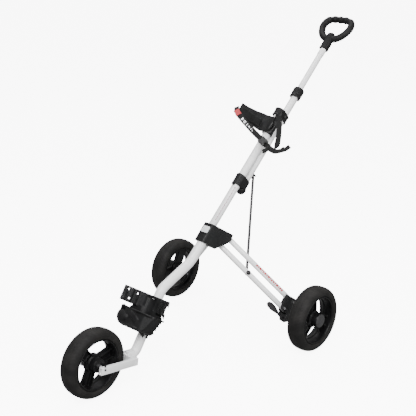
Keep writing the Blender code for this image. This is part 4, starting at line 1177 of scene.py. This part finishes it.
# Dashes, as (length, width)
BOLD = [(0.0070, 0.0072), (0.0044, 0.0072), (0.0085, 0.0072), (0.0036, 0.0072), (0.0060, 0.0072)]
FINE = [(0.0046, 0.0042), (0.0028, 0.0042), (0.0060, 0.0042), (0.0022, 0.0042)]
print_on_tube(
    "leg_print",
    "leg_upper_left",
    LEG_LINE * 0.125,
    LEG_LINE * 0.255,
    LEG_RADIUS,
    (1, 0, 0.15),
    BOLD,
    RED,
    LEG,
)
print_on_tube(
    "tube_print",
    "frame",
    (0, 0, -0.190),
    (0, 0, -0.055),
    MAIN_RADIUS,
    (0.66, -0.75, 0),
    FINE,
    PINK_GREY,
    TUBE,
)


# CAD nodes that stay as they are

for name, node in frame["nodes"].items():
    if node.hide_render:
        continue
    if "bush" in name:
        finish = GREY
    elif "pin" in name or "axle" in name:
        finish = STEEL
    else:
        finish = BLACK
    node.data.materials.clear()
    node.data.materials.append(finish)
    node.data.shade_smooth()
    node.data.set_sharp_from_angle(angle=math.radians(40))


# Stage, light and camera


def stage():
    mesh = bpy.data.meshes.new("floor")
    mesh.from_pydata([(-30, -30, 0), (30, -30, 0), (30, 30, 0), (-30, 30, 0)], [], [(0, 1, 2, 3)])
    floor = placed("floor", mesh)
    floor.location.z = -0.0005  # just under the tyres
    nodes = Nodes("floor")
    nodes.shader.inputs["Base Color"].default_value = (0.93, 0.93, 0.93, 1)
    nodes.shader.inputs["Roughness"].default_value = 0.9
    nodes.shader.inputs["Emission Color"].default_value = (1, 1, 1, 1)
    nodes.shader.inputs["Emission Strength"].default_value = 8.0
    mesh.materials.append(nodes.material)
    floor.visible_glossy = False
    floor.visible_diffuse = False


def area_light(name, place, target, size, power):
    light = bpy.data.lights.new(name, "AREA")
    light.shape = "DISK"
    light.size = size
    light.energy = power
    holder = placed(name, light)
    holder.location = place
    aim = Vector(target) - Vector(place)
    holder.rotation_euler = aim.to_track_quat("-Z", "Y").to_euler()


def camera():
    made = bpy.data.cameras.new("camera")
    made.lens = 79.34
    made.sensor_width = 36
    holder = placed("camera", made)
    holder.location = (1.9677, AXLE_Y - 2.3504, 1.5390)
    azimuth, elevation = math.radians(42.128), math.radians(19.746)
    level = math.cos(elevation)
    aim = Vector((-math.sin(azimuth) * level, math.cos(azimuth) * level, -math.sin(elevation)))
    holder.rotation_euler = aim.to_track_quat("-Z", "Y").to_euler()
    bpy.context.scene.camera = holder


stage()
area_light("key", (1.2, -2.2, 3.2), (0, 0, 0.4), 2.0, 190)
area_light("fill", (3.2, -0.4, 1.6), (0, 0, 0.5), 2.0, 80)
area_light("top", (-1.0, 1.0, 4.0), (0, 0, 0.3), 3.0, 110)
world = bpy.data.worlds.new("studio")
world.use_nodes = True
world.node_tree.nodes["Background"].inputs["Color"].default_value = (1, 1, 1, 1)
world.node_tree.nodes["Background"].inputs["Strength"].default_value = 0.6
bpy.context.scene.world = world
camera()

bpy.context.view_layer.update()
